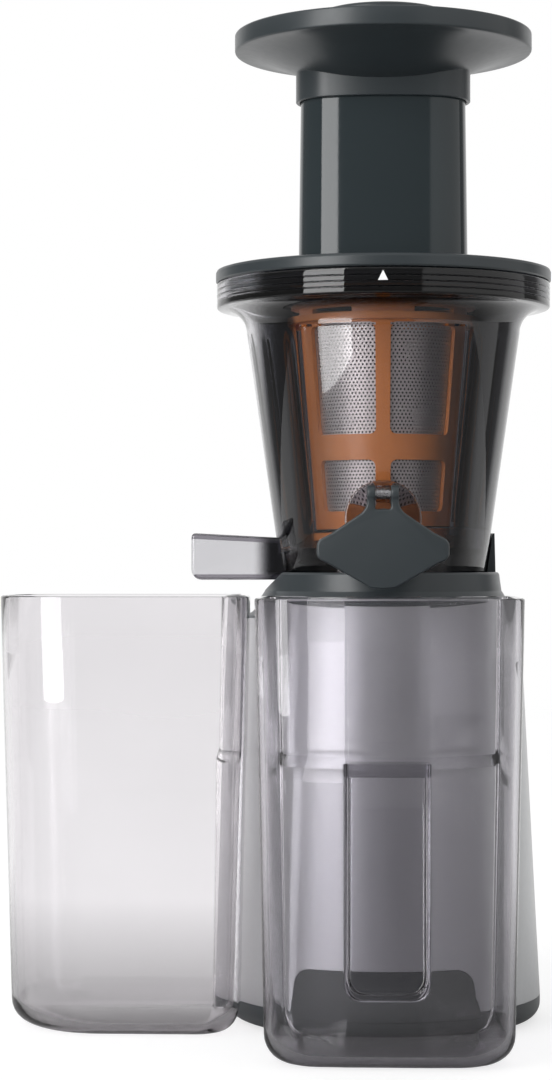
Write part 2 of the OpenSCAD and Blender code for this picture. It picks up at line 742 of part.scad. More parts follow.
// The moulding is drawn as three solids that meet face to face: bowl, pulp spout and juice outlet
module spout_region() {
    floor_low = z_floor - 2.6;
    half = spout_w / 2 + 1;
    translate([-spout_reach - 5, -half, spout_z - 1])
        cube([spout_reach + 5 + chute_x + chute_r + 1, 2 * half, floor_low - spout_z + 1]);
    translate([-spout_reach - 5, -half, floor_low - 1])
        cube([spout_reach + 5 - bowl_r_bottom, 2 * half, spout_top + 1 - floor_low]);
}

module outlet_region() {
    half = stub_r + 1;
    y_in = bowl_r(z_outlet) + 1;
    translate([-half, -stub_reach - 15, z_outlet - half]) cube([2 * half,
        stub_reach + 15 - y_in, 2 * half]);
}

module juice_bowl() {
    color("#5a575c", 0.6) difference() {
        bowl_moulding();
        spout_region();
        outlet_region();
    }
}

module pulp_spout() {
    color("#5a575c", 0.6) intersection() {
        bowl_moulding();
        spout_region();
    }
}

module juice_outlet() {
    color("#5a575c", 0.6) intersection() {
        bowl_moulding();
        outlet_region();
    }
}

// Rectangular duct that carries the pulp out to the side
module pulp_duct() {
    x_end = -spout_reach;
    x_inner = chute_x + chute_bore_r + spout_t;
    across(-spout_w / 2, spout_w / 2) polygon([[x_end, spout_top - 1.4], [x_end + 0.4, spout_top - 0.4],
        [x_end + 1.4, spout_top], [-20, spout_top - 3], [x_inner, z_floor - 1], [x_inner, spout_z],
        [x_end + 3, spout_z], [x_end + 0.6, spout_z + 4]]);
}

module alignment_mark() {
    y = ring_r + fit_gap / 2;
    color("white") across(-y - 0.25, -y) polygon([[-1.9, z_rim - 5.3], [1.9, z_rim - 5.3],
        [0, z_rim - 1.5]]);
}

module bowl_seal() {
    color("#262626") translate([0, 0, z_floor - 2.6]) ring_section([[hub_r + run_gap, 0],
        [hub_hole_r - fit_gap, 0],
        [hub_hole_r - fit_gap, 2.5], [hub_r + run_gap, 2.5]]);
}

module at_idler(s) { rotate([0, 0, s * idler_turn]) translate([idler_dist, 0, 0])
    rotate([0, 0, -s * idler_turn]) children(); }

module idler_pins() {
    color("#c0c2c4") for (s = [-1, 1]) at_idler(s) translate([0, 0, z_floor + eps])
        cylinder(r = idler_pin_r, h = z_strain + 2 - z_floor);
}

module idler_gear(s) {
    turn = mesh_turn(s * idler_turn, sun_teeth, 0, idler_teeth);
    color("#e6e2d6") at_idler(s) difference() {
        translate([0, 0, z_gear]) linear_extrude(gear_h) rotate(turn)
            polygon(gear(idler_teeth, wiper_module, wiper_module, 1.2 * wiper_module, 0.15));
        translate([0, 0, z_gear - 1]) cylinder(r = idler_pin_r + run_gap, h = gear_h + 2);
    }
}

module idler_gear_left() { idler_gear(-1); }

module idler_gear_right() { idler_gear(1); }

// ---- Strainer, auger and wiper ----

// Wedge that cuts one window on each side of a post; a is the post's angle
module screen_window(a, z_range) {
    r_far = strainer_r_top + 10;
    for (s = [-1, 1]) rotate([0, 0, a]) translate([0, 0, z_range[0]])
        linear_extrude(z_range[1] - z_range[0])
        polygon([[14, s * post_half], [r_far, s * post_half], [r_far, s * r_far],
            [r_far * cos(window_edge), s * r_far * sin(window_edge)],
                [14 * cos(window_edge), s * 14 * sin(window_edge)]]);
}

module strainer_frame() {
    color("#b5713f") difference() {
        union() {
            ring_section([[strainer_r_bottom, z_strain], [strain_r(z_strain_neck), z_strain_neck],
                [strain_r(z_strain_neck) + 0.4, z_strain_neck + 6.8], [37.2, z_strain_neck + 7.2],
                    [37.2, z_strain_top],
                [strain_r(z_strain_neck) - strainer_t, z_strain_top],
                [strain_r(z_strain_neck) - strainer_t, z_strain_neck],
                [strain_r(z_strain + 2.2) - strainer_t, z_strain + 2.2], [0, z_strain + 2.2],
                    [0, z_strain]]);
            for (a = [-90, 90]) rotate([0, 0, a]) across(-post_half, post_half) polygon([
                [strain_r(z_strain) - 0.6, z_strain], [strain_r(z_strain) + post_proud, z_strain],
                [strain_r(z_strain_neck) + post_proud, z_strain_neck],
                    [strain_r(z_strain_neck) + post_proud, z_strain_top - 1],
                [strain_r(z_strain_neck) - 0.6, z_strain_top - 1]]);
        }
        translate([0, 0, z_strain - 1]) cylinder(r = 11.7, h = 5);
        translate([chute_x, 0, z_strain - 1]) cylinder(r = chute_bore_r, h = 5);
        for (s = [-1, 1]) at_idler(s) translate([0, 0, z_strain - 1])
            cylinder(r = idler_pin_r + fit_gap, h = 5);
        for (a = [-90, 90]) for (range = [lower_screen, upper_screen]) screen_window(a, range);
        for (a = [-90, 90]) for (s = [-1, 1]) rotate([0, 0, a + s * slot_turn])
            translate([26, -slot_w / 2, z_strain_neck + 1.6]) cube([12, slot_w, slot_h]);
    }
}

module strainer_screen() {
    z0 = lower_screen[0] - 3;
    z1 = upper_screen[1] + 3;
    t0 = strainer_t + fit_gap;
    color("#c9c6c4") ring_section([[strain_r(z0) - t0, z0], [strain_r(z1) - t0, z1],
        [strain_r(z1) - t0 - screen_t, z1], [strain_r(z0) - t0 - screen_t, z0]]);
}

module auger_gear() {
    color("#3a3d40") difference() {
        translate([0, 0, z_gear]) linear_extrude(gear_h)
            polygon(gear(sun_teeth, wiper_module, wiper_module, 1.2 * wiper_module, 0.15));
        translate([0, 0, z_gear - 1]) cylinder(r = hub_r, h = gear_h + 2);
    }
}

module auger_socket() {
    color("#a7aaae") difference() {
        translate([0, 0, z_floor - 3.4]) cylinder(r = hub_r, h = hex_top + 3 - z_floor + 3.4);
        translate([0, 0, z_floor - 4.4]) cylinder(r = (hex_af + 0.4) / sqrt(3),
            h = hex_top + 5 - z_floor, $fn = 6);
    }
}

module auger() {
    z0 = z_gear + gear_h;
    z_disc = z_strain + 3;
    z_end = z_strain_neck - 4;
    core_top = 8;
    inset = strainer_t + fit_gap + screen_t + flight_gap;
    r0 = strain_r(z_disc) - inset - 0.4;
    r1 = strain_r(z_end) - inset - 0.4;
    color("#3d4144") difference() {
        union() {
            ring_section([[0, z0], [11.2, z0], [11.2, z_disc], [r0, z_disc], [r0, z_disc + 2],
                [17, z_disc + 4],
                [12.5, z_disc + 36], [core_top, z_end], [core_top, z_auger_top], [lid_pin_r, z_auger_top],
                [lid_pin_r, z_auger_top + 6], [0, z_auger_top + 6]]);
            translate([0, 0, z_disc + 0.5]) linear_extrude(height = z_end - z_disc - 1.5,
                twist = -360 * flight_turns,
                scale = r1 / r0, slices = 40, convexity = 8, $fn = 16)
                for (s = [0, 180]) rotate(s) translate([0, -2]) square([r0, 4]);
        }
        translate([0, 0, z0 - 1]) cylinder(r = hub_r + fit_gap / 2, h = hex_top + 3.2 - z0 + 1);
    }
}

module wiper_carrier() {
    z_top = z_carrier_top;
    r_in = strain_r(z_top) + 1.4;
    rise = z_top - z_gear;
    bar_t = 3;
    bar_half = 3.5;
    color("#b5713f") {
        difference() {
            translate([0, 0, z_gear]) cylinder(r = carrier_r, h = gear_h);
            translate([0, 0, z_gear - 1]) linear_extrude(gear_h + 2) rotate(ring_turn)
                polygon(gear(ring_teeth, wiper_module, 1.25 * wiper_module, wiper_module, -0.15));
        }
        for (s = [0, 180]) rotate([0, 0, s]) across(-bar_half, bar_half) polygon([
            [carrier_r - 1.9, z_gear + 1], [carrier_r - 0.1, z_gear + 1], [carrier_r, z_gear + gear_h],
            [carrier_rim_r - 0.3, z_top - 2], [carrier_rim_r - 0.3 - bar_t, z_top - 2],
            [carrier_r - bar_t + 0.4, z_gear + gear_h - 0.6], [carrier_r - 1.9, z_gear + gear_h - 0.6]]);
        translate([0, 0, z_top - 3.6]) tube(carrier_rim_r, r_in, 3.6);
    }
}

module wiper_blades() {
    z0 = z_strain + 4;
    z1 = z_carrier_top - 5;
    slope = (carrier_rim_r - 0.3 - carrier_r) / (z_carrier_top - 2 - z_gear - gear_h);
    face0 = carrier_r - 3 + slope * (z0 - z_gear - gear_h) - 0.15;
    face1 = carrier_r - 3 + slope * (z1 - z_gear - gear_h) - 0.15;
    color("#4a4f52") for (s = [0, 180]) rotate([0, 0, s]) across(-1, 1) polygon([
        [strain_r(z0) + post_proud + blade_gap, z0], [face0, z0], [face1, z1],
        [strain_r(z1) + post_proud + blade_gap, z1]]);
}

// ---- Juice tap ----

module tap_outline() {
    wing_x = 19.4;
    wing_z = z_outlet - 11.9;
    neck_fillet = 14;
    offset(r = -neck_fillet) offset(delta = neck_fillet) union() {
        hull() {
            for (s = [-1, 1]) translate([s * wing_x, wing_z]) circle(r = 5.4, $fn = 48);
            translate([0, z_outlet - 16.9]) circle(r = 9.6, $fn = 64);
        }
        translate([-6.5, z_outlet - 10]) square([13, hinge_z - z_outlet + 10]);
    }
}

module tap_cap() {
    slot_half = 2.9;
    color("#42474b") difference() {
        union() {
            difference() {
                across(-tap_back - tap_t, -tap_back) tap_outline();
                translate([-20, -tap_back - tap_t - 1, hinge_z]) cube([40, tap_t + 2, 20]);
            }
            translate([0, hinge_y, hinge_z]) rotate([0, 90, 0]) cylinder(r = ear_r, h = 12, center = true);
        }
        translate([-slot_half, -tap_back - 10, z_outlet + 3.4]) cube([2 * slot_half, 20, 20]);
        translate([0, hinge_y, hinge_z]) rotate([0, 90, 0]) cylinder(r = pin_r, h = 20, center = true);
        translate([0, -tap_back + 1, z_bore]) rotate([90, 0, 0]) cylinder(r = 3, h = 3);
    }
}

module tap_pin() {
    color("#b9bcc0") translate([0, hinge_y, hinge_z]) rotate([0, 90, 0])
        cylinder(r = pin_r, h = 11.6, center = true);
}

module tap_seal() {
    color("#55595c") translate([0, -tap_back, z_bore]) rotate([90, 0, 0]) {
        translate([0, 0, -2.1]) cylinder(r = outlet_bore_r + 0.9, h = 2);
        translate([0, 0, -0.2]) cylinder(r = 2.8, h = 2);
    }
}

// ---- Lid, tray and pusher ----

module lid() {
    skirt_out = ring_in_r - seat_gap;
    skirt_low = z_ring + 4.2;
    color("#3d4245") difference() {
        union() {
            ring_section([[0, z_lid - 2.6], [skirt_out - 2.2, z_lid - 2.6], [skirt_out - 2.2, skirt_low],
                [skirt_out - 0.4, skirt_low], [skirt_out, skirt_low + 1], [skirt_out, z_rim - 3.4],
                [skirt_out - 1, z_rim - 3.4], [skirt_out - 1, z_rim - 1.4], [skirt_out, z_rim - 1.4],
                [skirt_out, z_rim + 0.2], [lid_r - 0.5, z_rim + 0.2], [lid_r, z_rim + 0.8],
                    [lid_r, z_lid - 1.2],
                [lid_r - 0.4, z_lid - 0.3], [lid_r - 1.4, z_lid], [0, z_lid]]);
            translate([0, 0, z_auger_top + 1]) linear_extrude(z_lid - z_auger_top - 2) polygon(oval(-3));
        }
        difference() {
            translate([0, 0, z_auger_top - 1]) linear_extrude(z_lid - z_auger_top + 2)
                polygon(oval(chute_in));
            translate([-3, -30, z_auger_top]) cube([6, 60, 8]);
            translate([0, 0, z_auger_top]) cylinder(r = lid_hub_r, h = 9);
        }
        translate([0, 0, z_auger_top - 1]) cylinder(r = lid_pin_r + run_gap, h = 8);
    }
}

// Oval tube that stands on the lid
module feed_tube() {
    color("#3d4245") difference() {
        hull() {
            translate([0, 0, z_lid]) linear_extrude(1) polygon(oval(0));
            translate([0, 0, z_tube - 1]) linear_extrude(1) polygon(oval(-tube_lean));
        }
        translate([0, 0, z_lid - 1]) linear_extrude(z_tube - z_lid + 2) polygon(oval(chute_in));
    }
}

module lid_seal() {
    r_out = ring_in_r - seat_gap;
    color("#8b8f92") translate([0, 0, z_rim - 3.3]) ring_section([[r_out - 0.95, 0], [r_out - 0.1, 0],
        [r_out + 0.3, 0.5],
        [r_out + 0.3, 1.3], [r_out - 0.1, 1.8], [r_out - 0.95, 1.8]]);
}

module food_tray() {
    steps = 10;
    span = tray_r - tray_bore_r;
    color("#4a4f52") difference() {
        union() {
            ring_section(concat([for (i = [0:steps]) let (r = tray_bore_r + span * i / steps) [r,
                tray_under(r)]],
                [[tray_r, z_tray_rim - 0.5], [tray_r - 0.4, z_tray_rim], [tray_r - 1.6, z_tray_rim],
                 [tray_r - 2, z_tray_rim - 0.5], [tray_r - 2.2, z_tray + 3.4],
                     [tray_r - 3.4, z_tray + tray_sheet]],
                [for (i = [steps - 1:-1:0]) let (r = tray_bore_r + span * i / steps) [r,
                    tray_under(r) + tray_sheet]]));
            translate([0, 0, z_tube - 7.2]) linear_extrude(9.2) polygon(oval(1));
        }
        translate([0, 0, z_tube - 8]) linear_extrude(8.4) polygon(oval(-tube_lean + 0.5));
        translate([0, 0, z_tube - 8]) linear_extrude(40) polygon(oval(chute_in));
    }
}

module pusher_body() {
    z_top = pusher_seat;
    color("#43484b") difference() {
        translate([0, 0, pusher_z]) linear_extrude(z_top - pusher_z) polygon(oval(pusher_in));
        translate([0, 0, pusher_z + 2.4]) linear_extrude(z_top) polygon(oval(pusher_in - 2.2));
        translate([0, 0, pusher_z - 1]) cylinder(r = 4, h = 5);
    }
}

module pusher_cap() {
    color("#42474b") difference() {
        union() {
            ring_section([[0, pusher_seat + 0.1], [cap_r - 0.4, pusher_seat + 0.1],
                [cap_r, pusher_seat + 0.6],
                [cap_r, z_cap - 1.4], [cap_r - 0.4, z_cap - 0.5], [cap_r - 1.4, z_cap - 0.1], [0, z_cap]]);
            translate([0, 0, pusher_seat + 0.1]) linear_extrude(1.8) polygon(oval(pusher_in));
            translate([0, 0, pusher_seat - 8]) linear_extrude(8.4) polygon(oval(pusher_in - 2.4));
        }
        translate([0, 0, pusher_seat - 9]) linear_extrude(9) polygon(oval(pusher_in - 4.4));
        translate([0, 0, pusher_seat + 2]) cylinder(r = cap_r - 2.4, h = z_cap - pusher_seat - 4.6);
    }
}

// ---- Jugs ----

// Tapered form with rounded bottom edges; inset moves all its walls inwards
module jug_form(x0, x1, y0, y1, radii, lean, inset, z0, z1) {
    steps = 4;
    round = jug_round - inset * 0.6;
    hull() {
        for (i = [0:steps]) let (a = 90 * i / steps, d = inset + lean + round * (1 - sin(a)),
            z = z0 + round * (1 - cos(a)))
            translate([0, 0, z]) linear_extrude(0.1)
                polygon(corners(x0 + d, x1 - d, y0 + d, y1 - d, max(1, radii[0] - inset),
                    max(1, radii[1] - inset),
                    max(1, radii[2] - inset), max(1, radii[3] - inset)));
        translate([0, 0, z1 - 0.1]) linear_extrude(0.1) polygon(corners(x0 + inset, x1 - inset,
            y0 + inset, y1 - inset,
            radii[0] - inset, radii[1] - inset, radii[2] - inset, radii[3] - inset));
    }
}

// Room for the silver body behind a jug, grown by d
module jug_back(d) {
    translate([0, 0, -5]) cylinder(r = jug_back_r + d, h = jug_step_z + 5 + d, $fn = 128);
    translate([0, 0, -5]) cylinder(r = jug_back_r - 3.7 + d, h = jug_h + 20, $fn = 128);
}

// Grip recess in the front of the juice jug, grown by d
module grip(d) {
    sideways(2 * (grip_half_w + d)) polygon([[-jug_front - 5, grip_top + d],
        [-jug_front + grip_depth + 1 + d, grip_top + d],
        [-jug_front + grip_depth + 1 + d, grip_top - 12], [-jug_front + 2.6 + d, grip_low],
            [-jug_front + 2.6, grip_low - d],
        [-jug_front - 5, grip_low - d]]);
}

module juice_jug() {
    radii = [15, 4, 4, 15];
    x0 = jug_x - jug_w / 2;
    x1 = jug_x + jug_w / 2;
    color("#8d8a93", 0.4) difference() {
        jug_form(x0, x1, -jug_front, -42, radii, jug_lean, 0, 0, jug_h);
        jug_back(0);
        grip(0);
        difference() {
            jug_form(x0, x1, -jug_front, -42, radii, jug_lean, jug_t, jug_floor, jug_h + 1);
            jug_back(jug_t);
            grip(jug_t);
        }
    }
}

module pulp_jug() {
    radii = [14, 10, 31, 31];
    y0 = -pulp_front;
    y1 = pulp_d - pulp_front;
    color("#cdc8cc", 0.3) difference() {
        jug_form(-pulp_reach, -pulp_near, y0, y1, radii, jug_lean + 0.6, 0, 0, jug_h);
        jug_back(0);
        difference() {
            jug_form(-pulp_reach, -pulp_near, y0, y1, radii, jug_lean + 0.6, jug_t * 0.85, jug_floor,
                jug_h + 1);
            jug_back(jug_t * 0.85);
        }
    }
}

foot_ring();
base_plate();
base_skirt();
base_screws();
body_shell();
collar();
spindle_seal();
cord_gland();
control_board();
switch_bezel();
switch_rocker();
motor_frame();
motor_can();
motor_stator();
motor_rotor();
motor_fan();
gearbox_cover();
gearbox_screws();
layshaft();
output_wheel();
drive_spindle();
lower_bearing();
upper_bearing();
juice_bowl();
pulp_spout();
juice_outlet();
alignment_mark();
bowl_seal();
idler_pins();
strainer_frame();
strainer_screen();
tap_pin();
tap_cap();
tap_seal();
auger();
auger_gear();
auger_socket();
idler_gear_left();
idler_gear_right();
wiper_carrier();
wiper_blades();
lid();
feed_tube();
lid_seal();
food_tray();
pusher_body();
pusher_cap();
juice_jug();
pulp_jug();
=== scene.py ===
"""Looks of the upright slow juicer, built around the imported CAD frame."""
import json
import math

import bmesh
import bpy
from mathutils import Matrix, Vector


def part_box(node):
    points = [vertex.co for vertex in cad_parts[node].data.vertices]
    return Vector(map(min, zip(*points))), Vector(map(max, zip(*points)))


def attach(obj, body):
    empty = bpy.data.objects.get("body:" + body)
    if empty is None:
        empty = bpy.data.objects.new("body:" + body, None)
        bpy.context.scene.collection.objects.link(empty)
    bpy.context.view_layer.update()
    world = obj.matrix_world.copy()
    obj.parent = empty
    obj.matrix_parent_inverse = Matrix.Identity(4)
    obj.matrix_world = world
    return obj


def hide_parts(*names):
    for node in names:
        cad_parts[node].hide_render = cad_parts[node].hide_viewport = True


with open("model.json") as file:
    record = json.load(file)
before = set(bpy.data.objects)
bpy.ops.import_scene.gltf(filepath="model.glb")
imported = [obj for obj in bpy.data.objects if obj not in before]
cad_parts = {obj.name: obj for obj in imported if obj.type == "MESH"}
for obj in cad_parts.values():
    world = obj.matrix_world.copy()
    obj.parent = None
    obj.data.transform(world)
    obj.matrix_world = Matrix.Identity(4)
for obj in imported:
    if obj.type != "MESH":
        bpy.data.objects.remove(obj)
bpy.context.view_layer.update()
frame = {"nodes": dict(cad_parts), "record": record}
NODES = frame["nodes"]
MM = 0.001

# ---- Driving places, read from the frame, in millimetres ----


def box_mm(node):
    """Lowest and highest corner of a CAD node in millimetres."""
    low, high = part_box(node)
    return [c / MM for c in low], [c / MM for c in high]


BODY_R = box_mm("body_shell")[1][0]
BOWL_LOW, BOWL_HIGH = box_mm("juice_bowl")
RING_R = BOWL_HIGH[0]
Z_RIM = BOWL_HIGH[2]
Z_RING = Z_RIM - 10.2
Z_COVE = Z_RING - 9.8
Z_COLLAR = BOWL_LOW[2] + 10.2
Z_FLOOR = Z_COLLAR + 10
Z_OUTLET = Z_FLOOR + 10.4
HINGE_Z = Z_OUTLET + 9.2
Z_LID = box_mm("lid")[1][2]
Z_TUBE = box_mm("feed_tube")[1][2]
Z_TRAY_RIM = box_mm("food_tray")[1][2]
TRAY_R = box_mm("food_tray")[1][0]
PLUG_R, WALL_R_LOW, WALL_R_TOP, BOWL_T = 40.4, 40.8, 54.4, 2.4
FLOOR_T = 2.6
CHUTE_X, CHUTE_R, CHUTE_BORE_R = -19.8, 8.2, 6.6


# ---- Materials ----


def srgb(*values):
    """Linear colour from 0 to 255 display values."""
    scaled = [v / 255 for v in values]
    linear = [((c + 0.055) / 1.055) ** 2.4 for c in scaled]
    return (*linear, 1.0)


class Shader:
    """A Principled material with helpers that add procedural detail to it."""

    def __init__(self, name, colour, roughness, **sockets):
        self.material = bpy.data.materials.new(name)
        self.material.use_nodes = True
        self.tree = self.material.node_tree
        self.bsdf = self.tree.nodes["Principled BSDF"]
        self.bsdf.inputs["Base Color"].default_value = colour
        self.bsdf.inputs["Roughness"].default_value = roughness
        for socket, value in sockets.items():
            self.bsdf.inputs[socket.replace("_", " ")].default_value = value
        self.place = self.tree.nodes.new("ShaderNodeTexCoord")

    def node(self, kind, **inputs):
        made = self.tree.nodes.new(kind)
        for key, value in inputs.items():
            socket = made.inputs[key.replace("_", " ")]
            if isinstance(value, bpy.types.NodeSocket):
                self.link(value, socket)
            else:
                socket.default_value = value
        return made

    def link(self, output, socket):
        self.tree.links.new(output, socket)

    def math(self, operation, *values):
        """Result of a maths node whose values are sockets or numbers."""
        made = self.tree.nodes.new("ShaderNodeMath")
        made.operation = operation
        for value, socket in zip(values, made.inputs):
            if isinstance(value, bpy.types.NodeSocket):
                self.link(value, socket)
            else:
                socket.default_value = value
        return made.outputs[0]

    def blend(self, share, a, b, kind="MIX"):
        """Colour between a and b, which are sockets or colours."""
        mix = self.tree.nodes.new("ShaderNodeMix")
        mix.data_type = "RGBA"
        mix.blend_type = kind
        for value, socket in ((share, mix.inputs[0]), (a, mix.inputs[6]), (b, mix.inputs[7])):
            if isinstance(value, bpy.types.NodeSocket):
                self.link(value, socket)
            else:
                socket.default_value = value
        return mix.outputs[2]

    def noise(self, scale, detail=3.0, stretch=(1, 1, 1)):
        """Noise over the object's own coordinates; scale is features per metre."""
        mapped = self.node("ShaderNodeMapping", Vector=self.place.outputs["Object"], Scale=stretch)
        return self.node("ShaderNodeTexNoise", Vector=mapped.outputs[0], Scale=scale, Detail=detail)

    def ranged(self, value, low, high):
        found = self.node("ShaderNodeMapRange", Value=value)
        found.inputs["From Min"].default_value = 0.3
        found.inputs["From Max"].default_value = 0.7
        found.inputs["To Min"].default_value = low
        found.inputs["To Max"].default_value = high
        return found.outputs[0]

    def vary_colour(self, other, scale, detail=3.0, stretch=(1, 1, 1)):
        """Blends the base colour with another along noise."""
        base = self.bsdf.inputs["Base Color"]
        share = self.ranged(self.noise(scale, detail, stretch).outputs[0], 0, 1)
        self.link(self.blend(share, base.default_value, other), base)
        return self

    def vary_roughness(self, low, high, scale, stretch=(1, 1, 1)):
        value = self.ranged(self.noise(scale, 3.0, stretch).outputs[0], low, high)
        self.link(value, self.bsdf.inputs["Roughness"])
        return self

    def grain(self, scale, strength, depth=0.05, stretch=(1, 1, 1), rounding=0.0):
        """Fine moulded texture; rounding softens the edges by that many millimetres."""
        bump = self.node("ShaderNodeBump", Height=self.noise(scale, 2.0, stretch).outputs[0])
        bump.inputs["Strength"].default_value = strength
        bump.inputs["Distance"].default_value = depth * MM
        if rounding:
            bevel = self.tree.nodes.new("ShaderNodeBevel")
            bevel.samples = 4
            bevel.inputs["Radius"].default_value = rounding * MM
            self.link(bevel.outputs[0], bump.inputs["Normal"])
        self.link(bump.outputs[0], self.bsdf.inputs["Normal"])
        return self

    def depth(self, shade, density):
        """Colour that deepens with the plastic's thickness; density is per metre."""
        made = self.tree.nodes.new("ShaderNodeVolumeAbsorption")
        made.inputs["Color"].default_value = shade
        made.inputs["Density"].default_value = density
        self.link(made.outputs[0], self.tree.nodes["Material Output"].inputs["Volume"])

    def clear(self, shade):
        """Lets lamps shine through tinted glass, with the tint that one surface gives."""
        path = self.tree.nodes.new("ShaderNodeLightPath")
        see = self.node("ShaderNodeBsdfTransparent", Color=shade)
        mix = self.tree.nodes.new("ShaderNodeMixShader")
        self.link(path.outputs["Is Shadow Ray"], mix.inputs[0])
        self.link(self.bsdf.outputs[0], mix.inputs[1])
        self.link(see.outputs[0], mix.inputs[2])
        self.link(mix.outputs[0], self.tree.nodes["Material Output"].inputs["Surface"])
        return self


def satin(name, colour, other, roughness, rounding=0.4):
    """Moulded satin plastic."""
    made = Shader(name, colour, roughness, IOR=1.48)
    made.vary_colour(other, 40).vary_roughness(roughness - 0.015, roughness + 0.02, 350)
    return made.grain(3200, 0.08, 0.015, rounding=rounding)


def tinted(name, colour, other, shade, density):
    """Clear moulded plastic whose depth of colour grows with its thickness; density is per metre."""
    made = Shader(name, colour, 0.0, IOR=1.5, Transmission_Weight=1.0)
    made.vary_colour(other, 25, 1.0)
    made.depth(shade, density)
    return made.clear(tuple(c ** 0.5 for c in colour))


def smoky(name, front, side, ring, spout):
    """Bowl plastic of one smoke tint: painted shade darkens it from the clear front window round the sides
    and under the ring, and painted light clears it at the pulp spout.
    """
    made = Shader(name, side, 0.0, IOR=1.5, Transmission_Weight=1.0)
    made.depth((0.5, 0.48, 0.52, 1), 110)
    axes = made.node("ShaderNodeSeparateXYZ", Vector=made.place.outputs["Object"])
    x, y, z = axes.outputs

    def ramp(value, low, high):
        found = made.node("ShaderNodeMapRange", Value=value)
        found.interpolation_type = "SMOOTHSTEP"
        found.inputs["From Min"].default_value = low
        found.inputs["From Max"].default_value = high
        return found.outputs[0]

    # Painted shade: the colour darkens from the clear front window to the side colour, and to the ring
    # colour under the ring.
    reach = made.math("MULTIPLY_ADD", y, 0.82, made.math("ABSOLUTE", x))
    painted_shade_wall = made.blend(ramp(reach, -0.002, 0.002), front, side)
    painted_shade_wall = made.blend(ramp(z, (Z_RING - 5) * MM, (Z_RING - 1) * MM), painted_shade_wall, ring)
    # Painted light: the pulp spout's end is lightened to the clearest colour.
    painted_light_and_shade = made.blend(ramp(x, -0.052, -0.044), spout, painted_shade_wall)
    cloudy = made.ranged(made.noise(25, 1.0).outputs[0], 0.96, 1.0)
    made.link(made.blend(1.0, painted_light_and_shade, cloudy, "MULTIPLY"), made.bsdf.inputs["Base Color"])
    return made.clear(tuple(c ** 0.5 for c in front))


def metal(name, colour, other, roughness, stretch=(1, 1, 1), scale=900):
    made = Shader(name, colour, roughness, Metallic=1.0)
    made.vary_colour(other, scale / 4, 3.0, stretch)
    made.vary_roughness(roughness - 0.05, roughness + 0.08, scale, stretch)
    return made.grain(scale * 2, 0.15, 0.02, stretch)


MATERIALS = {
    "rubber_black": satin("rubber_black", srgb(38, 38, 38), srgb(46, 46, 46), 0.6, 0.2),
    "plastic_base": satin("plastic_base", srgb(56, 60, 61), srgb(61, 65, 66), 0.34),
    "plastic_charcoal": satin("plastic_charcoal", srgb(47, 53, 56), srgb(49, 55, 58), 0.33),
    "switch_black": satin("switch_black", srgb(36, 37, 39), srgb(42, 43, 45), 0.35),
    "orange_plastic": satin("orange_plastic", srgb(226, 144, 78), srgb(220, 138, 72), 0.3, 0.3),
    "silicone_grey": satin("silicone_grey", srgb(96, 100, 104), srgb(104, 108, 112), 0.5, 0.2),
    "gear_white": satin("gear_white", srgb(226, 222, 210), srgb(218, 214, 202), 0.4, 0.1),
    "gear_nylon": satin("gear_nylon", srgb(204, 196, 172), srgb(196, 188, 164), 0.4, 0.1),
    "auger_dark": satin("auger_dark", srgb(58, 62, 65), srgb(64, 68, 72), 0.3),
    "board_green": satin("board_green", srgb(30, 96, 60), srgb(24, 84, 52), 0.4, 0.1),
    "mark_white": satin("mark_white", srgb(250, 250, 250), srgb(240, 240, 240), 0.5, 0.05),
    "screen_steel": metal("screen_steel", srgb(232, 230, 230), srgb(222, 220, 220), 0.5, (1, 1, 8)),
    "steel": metal("steel", srgb(196, 198, 200), srgb(182, 184, 188), 0.25),
    "die_cast": metal("die_cast", srgb(150, 152, 155), srgb(138, 140, 144), 0.45),
    "motor_steel": metal("motor_steel", srgb(128, 130, 134), srgb(116, 118, 122), 0.35),
    "laminate": metal("laminate", srgb(120, 112, 104), srgb(84, 76, 70), 0.4, (0.02, 0.02, 6), 600),
    "gloss_charcoal": satin("gloss_charcoal", srgb(40, 48, 51), srgb(41, 49, 52), 0.06),
    # Bowl colours: clear front window, painted shade round the sides, painted shade under the ring, painted
    # light at the pulp spout.
    "smoke_bowl": smoky("smoke_bowl", srgb(222, 219, 219), srgb(72, 73, 79), srgb(70, 71, 77),
                        srgb(250, 250, 251)),
    "smoke_jug": tinted("smoke_jug", srgb(250, 249, 250), srgb(248, 247, 248),
                        (0.55, 0.54, 0.58, 1), 130),
    "clear_jug": tinted("clear_jug", srgb(254, 253, 254), srgb(252, 251, 252),
                        (0.5, 0.46, 0.5, 1), 52),
}
silver = Shader("silver_body", srgb(196, 197, 198), 0.36, Metallic=0.75, IOR=1.5)
silver.vary_colour(srgb(188, 189, 190), 3200, 1.0).vary_roughness(0.33, 0.4, 420)
MATERIALS["silver_body"] = silver.grain(4200, 0.12, 0.02, rounding=0.4)

for part in frame["record"]["subparts"]:
    slots = NODES[part["node"]].material_slots
    for held in slots:
        held.material = MATERIALS[part["material_slot"]].material

# ---- Mesh tools; every point is in millimetres ----


def arc(cx, cy, radius, start, end, steps):
    """Points along an arc, its angles in degrees."""
    turns = [math.radians(start + (end - start) * i / steps) for i in range(steps + 1)]
    return [(cx + radius * math.cos(t), cy + radius * math.sin(t)) for t in turns]


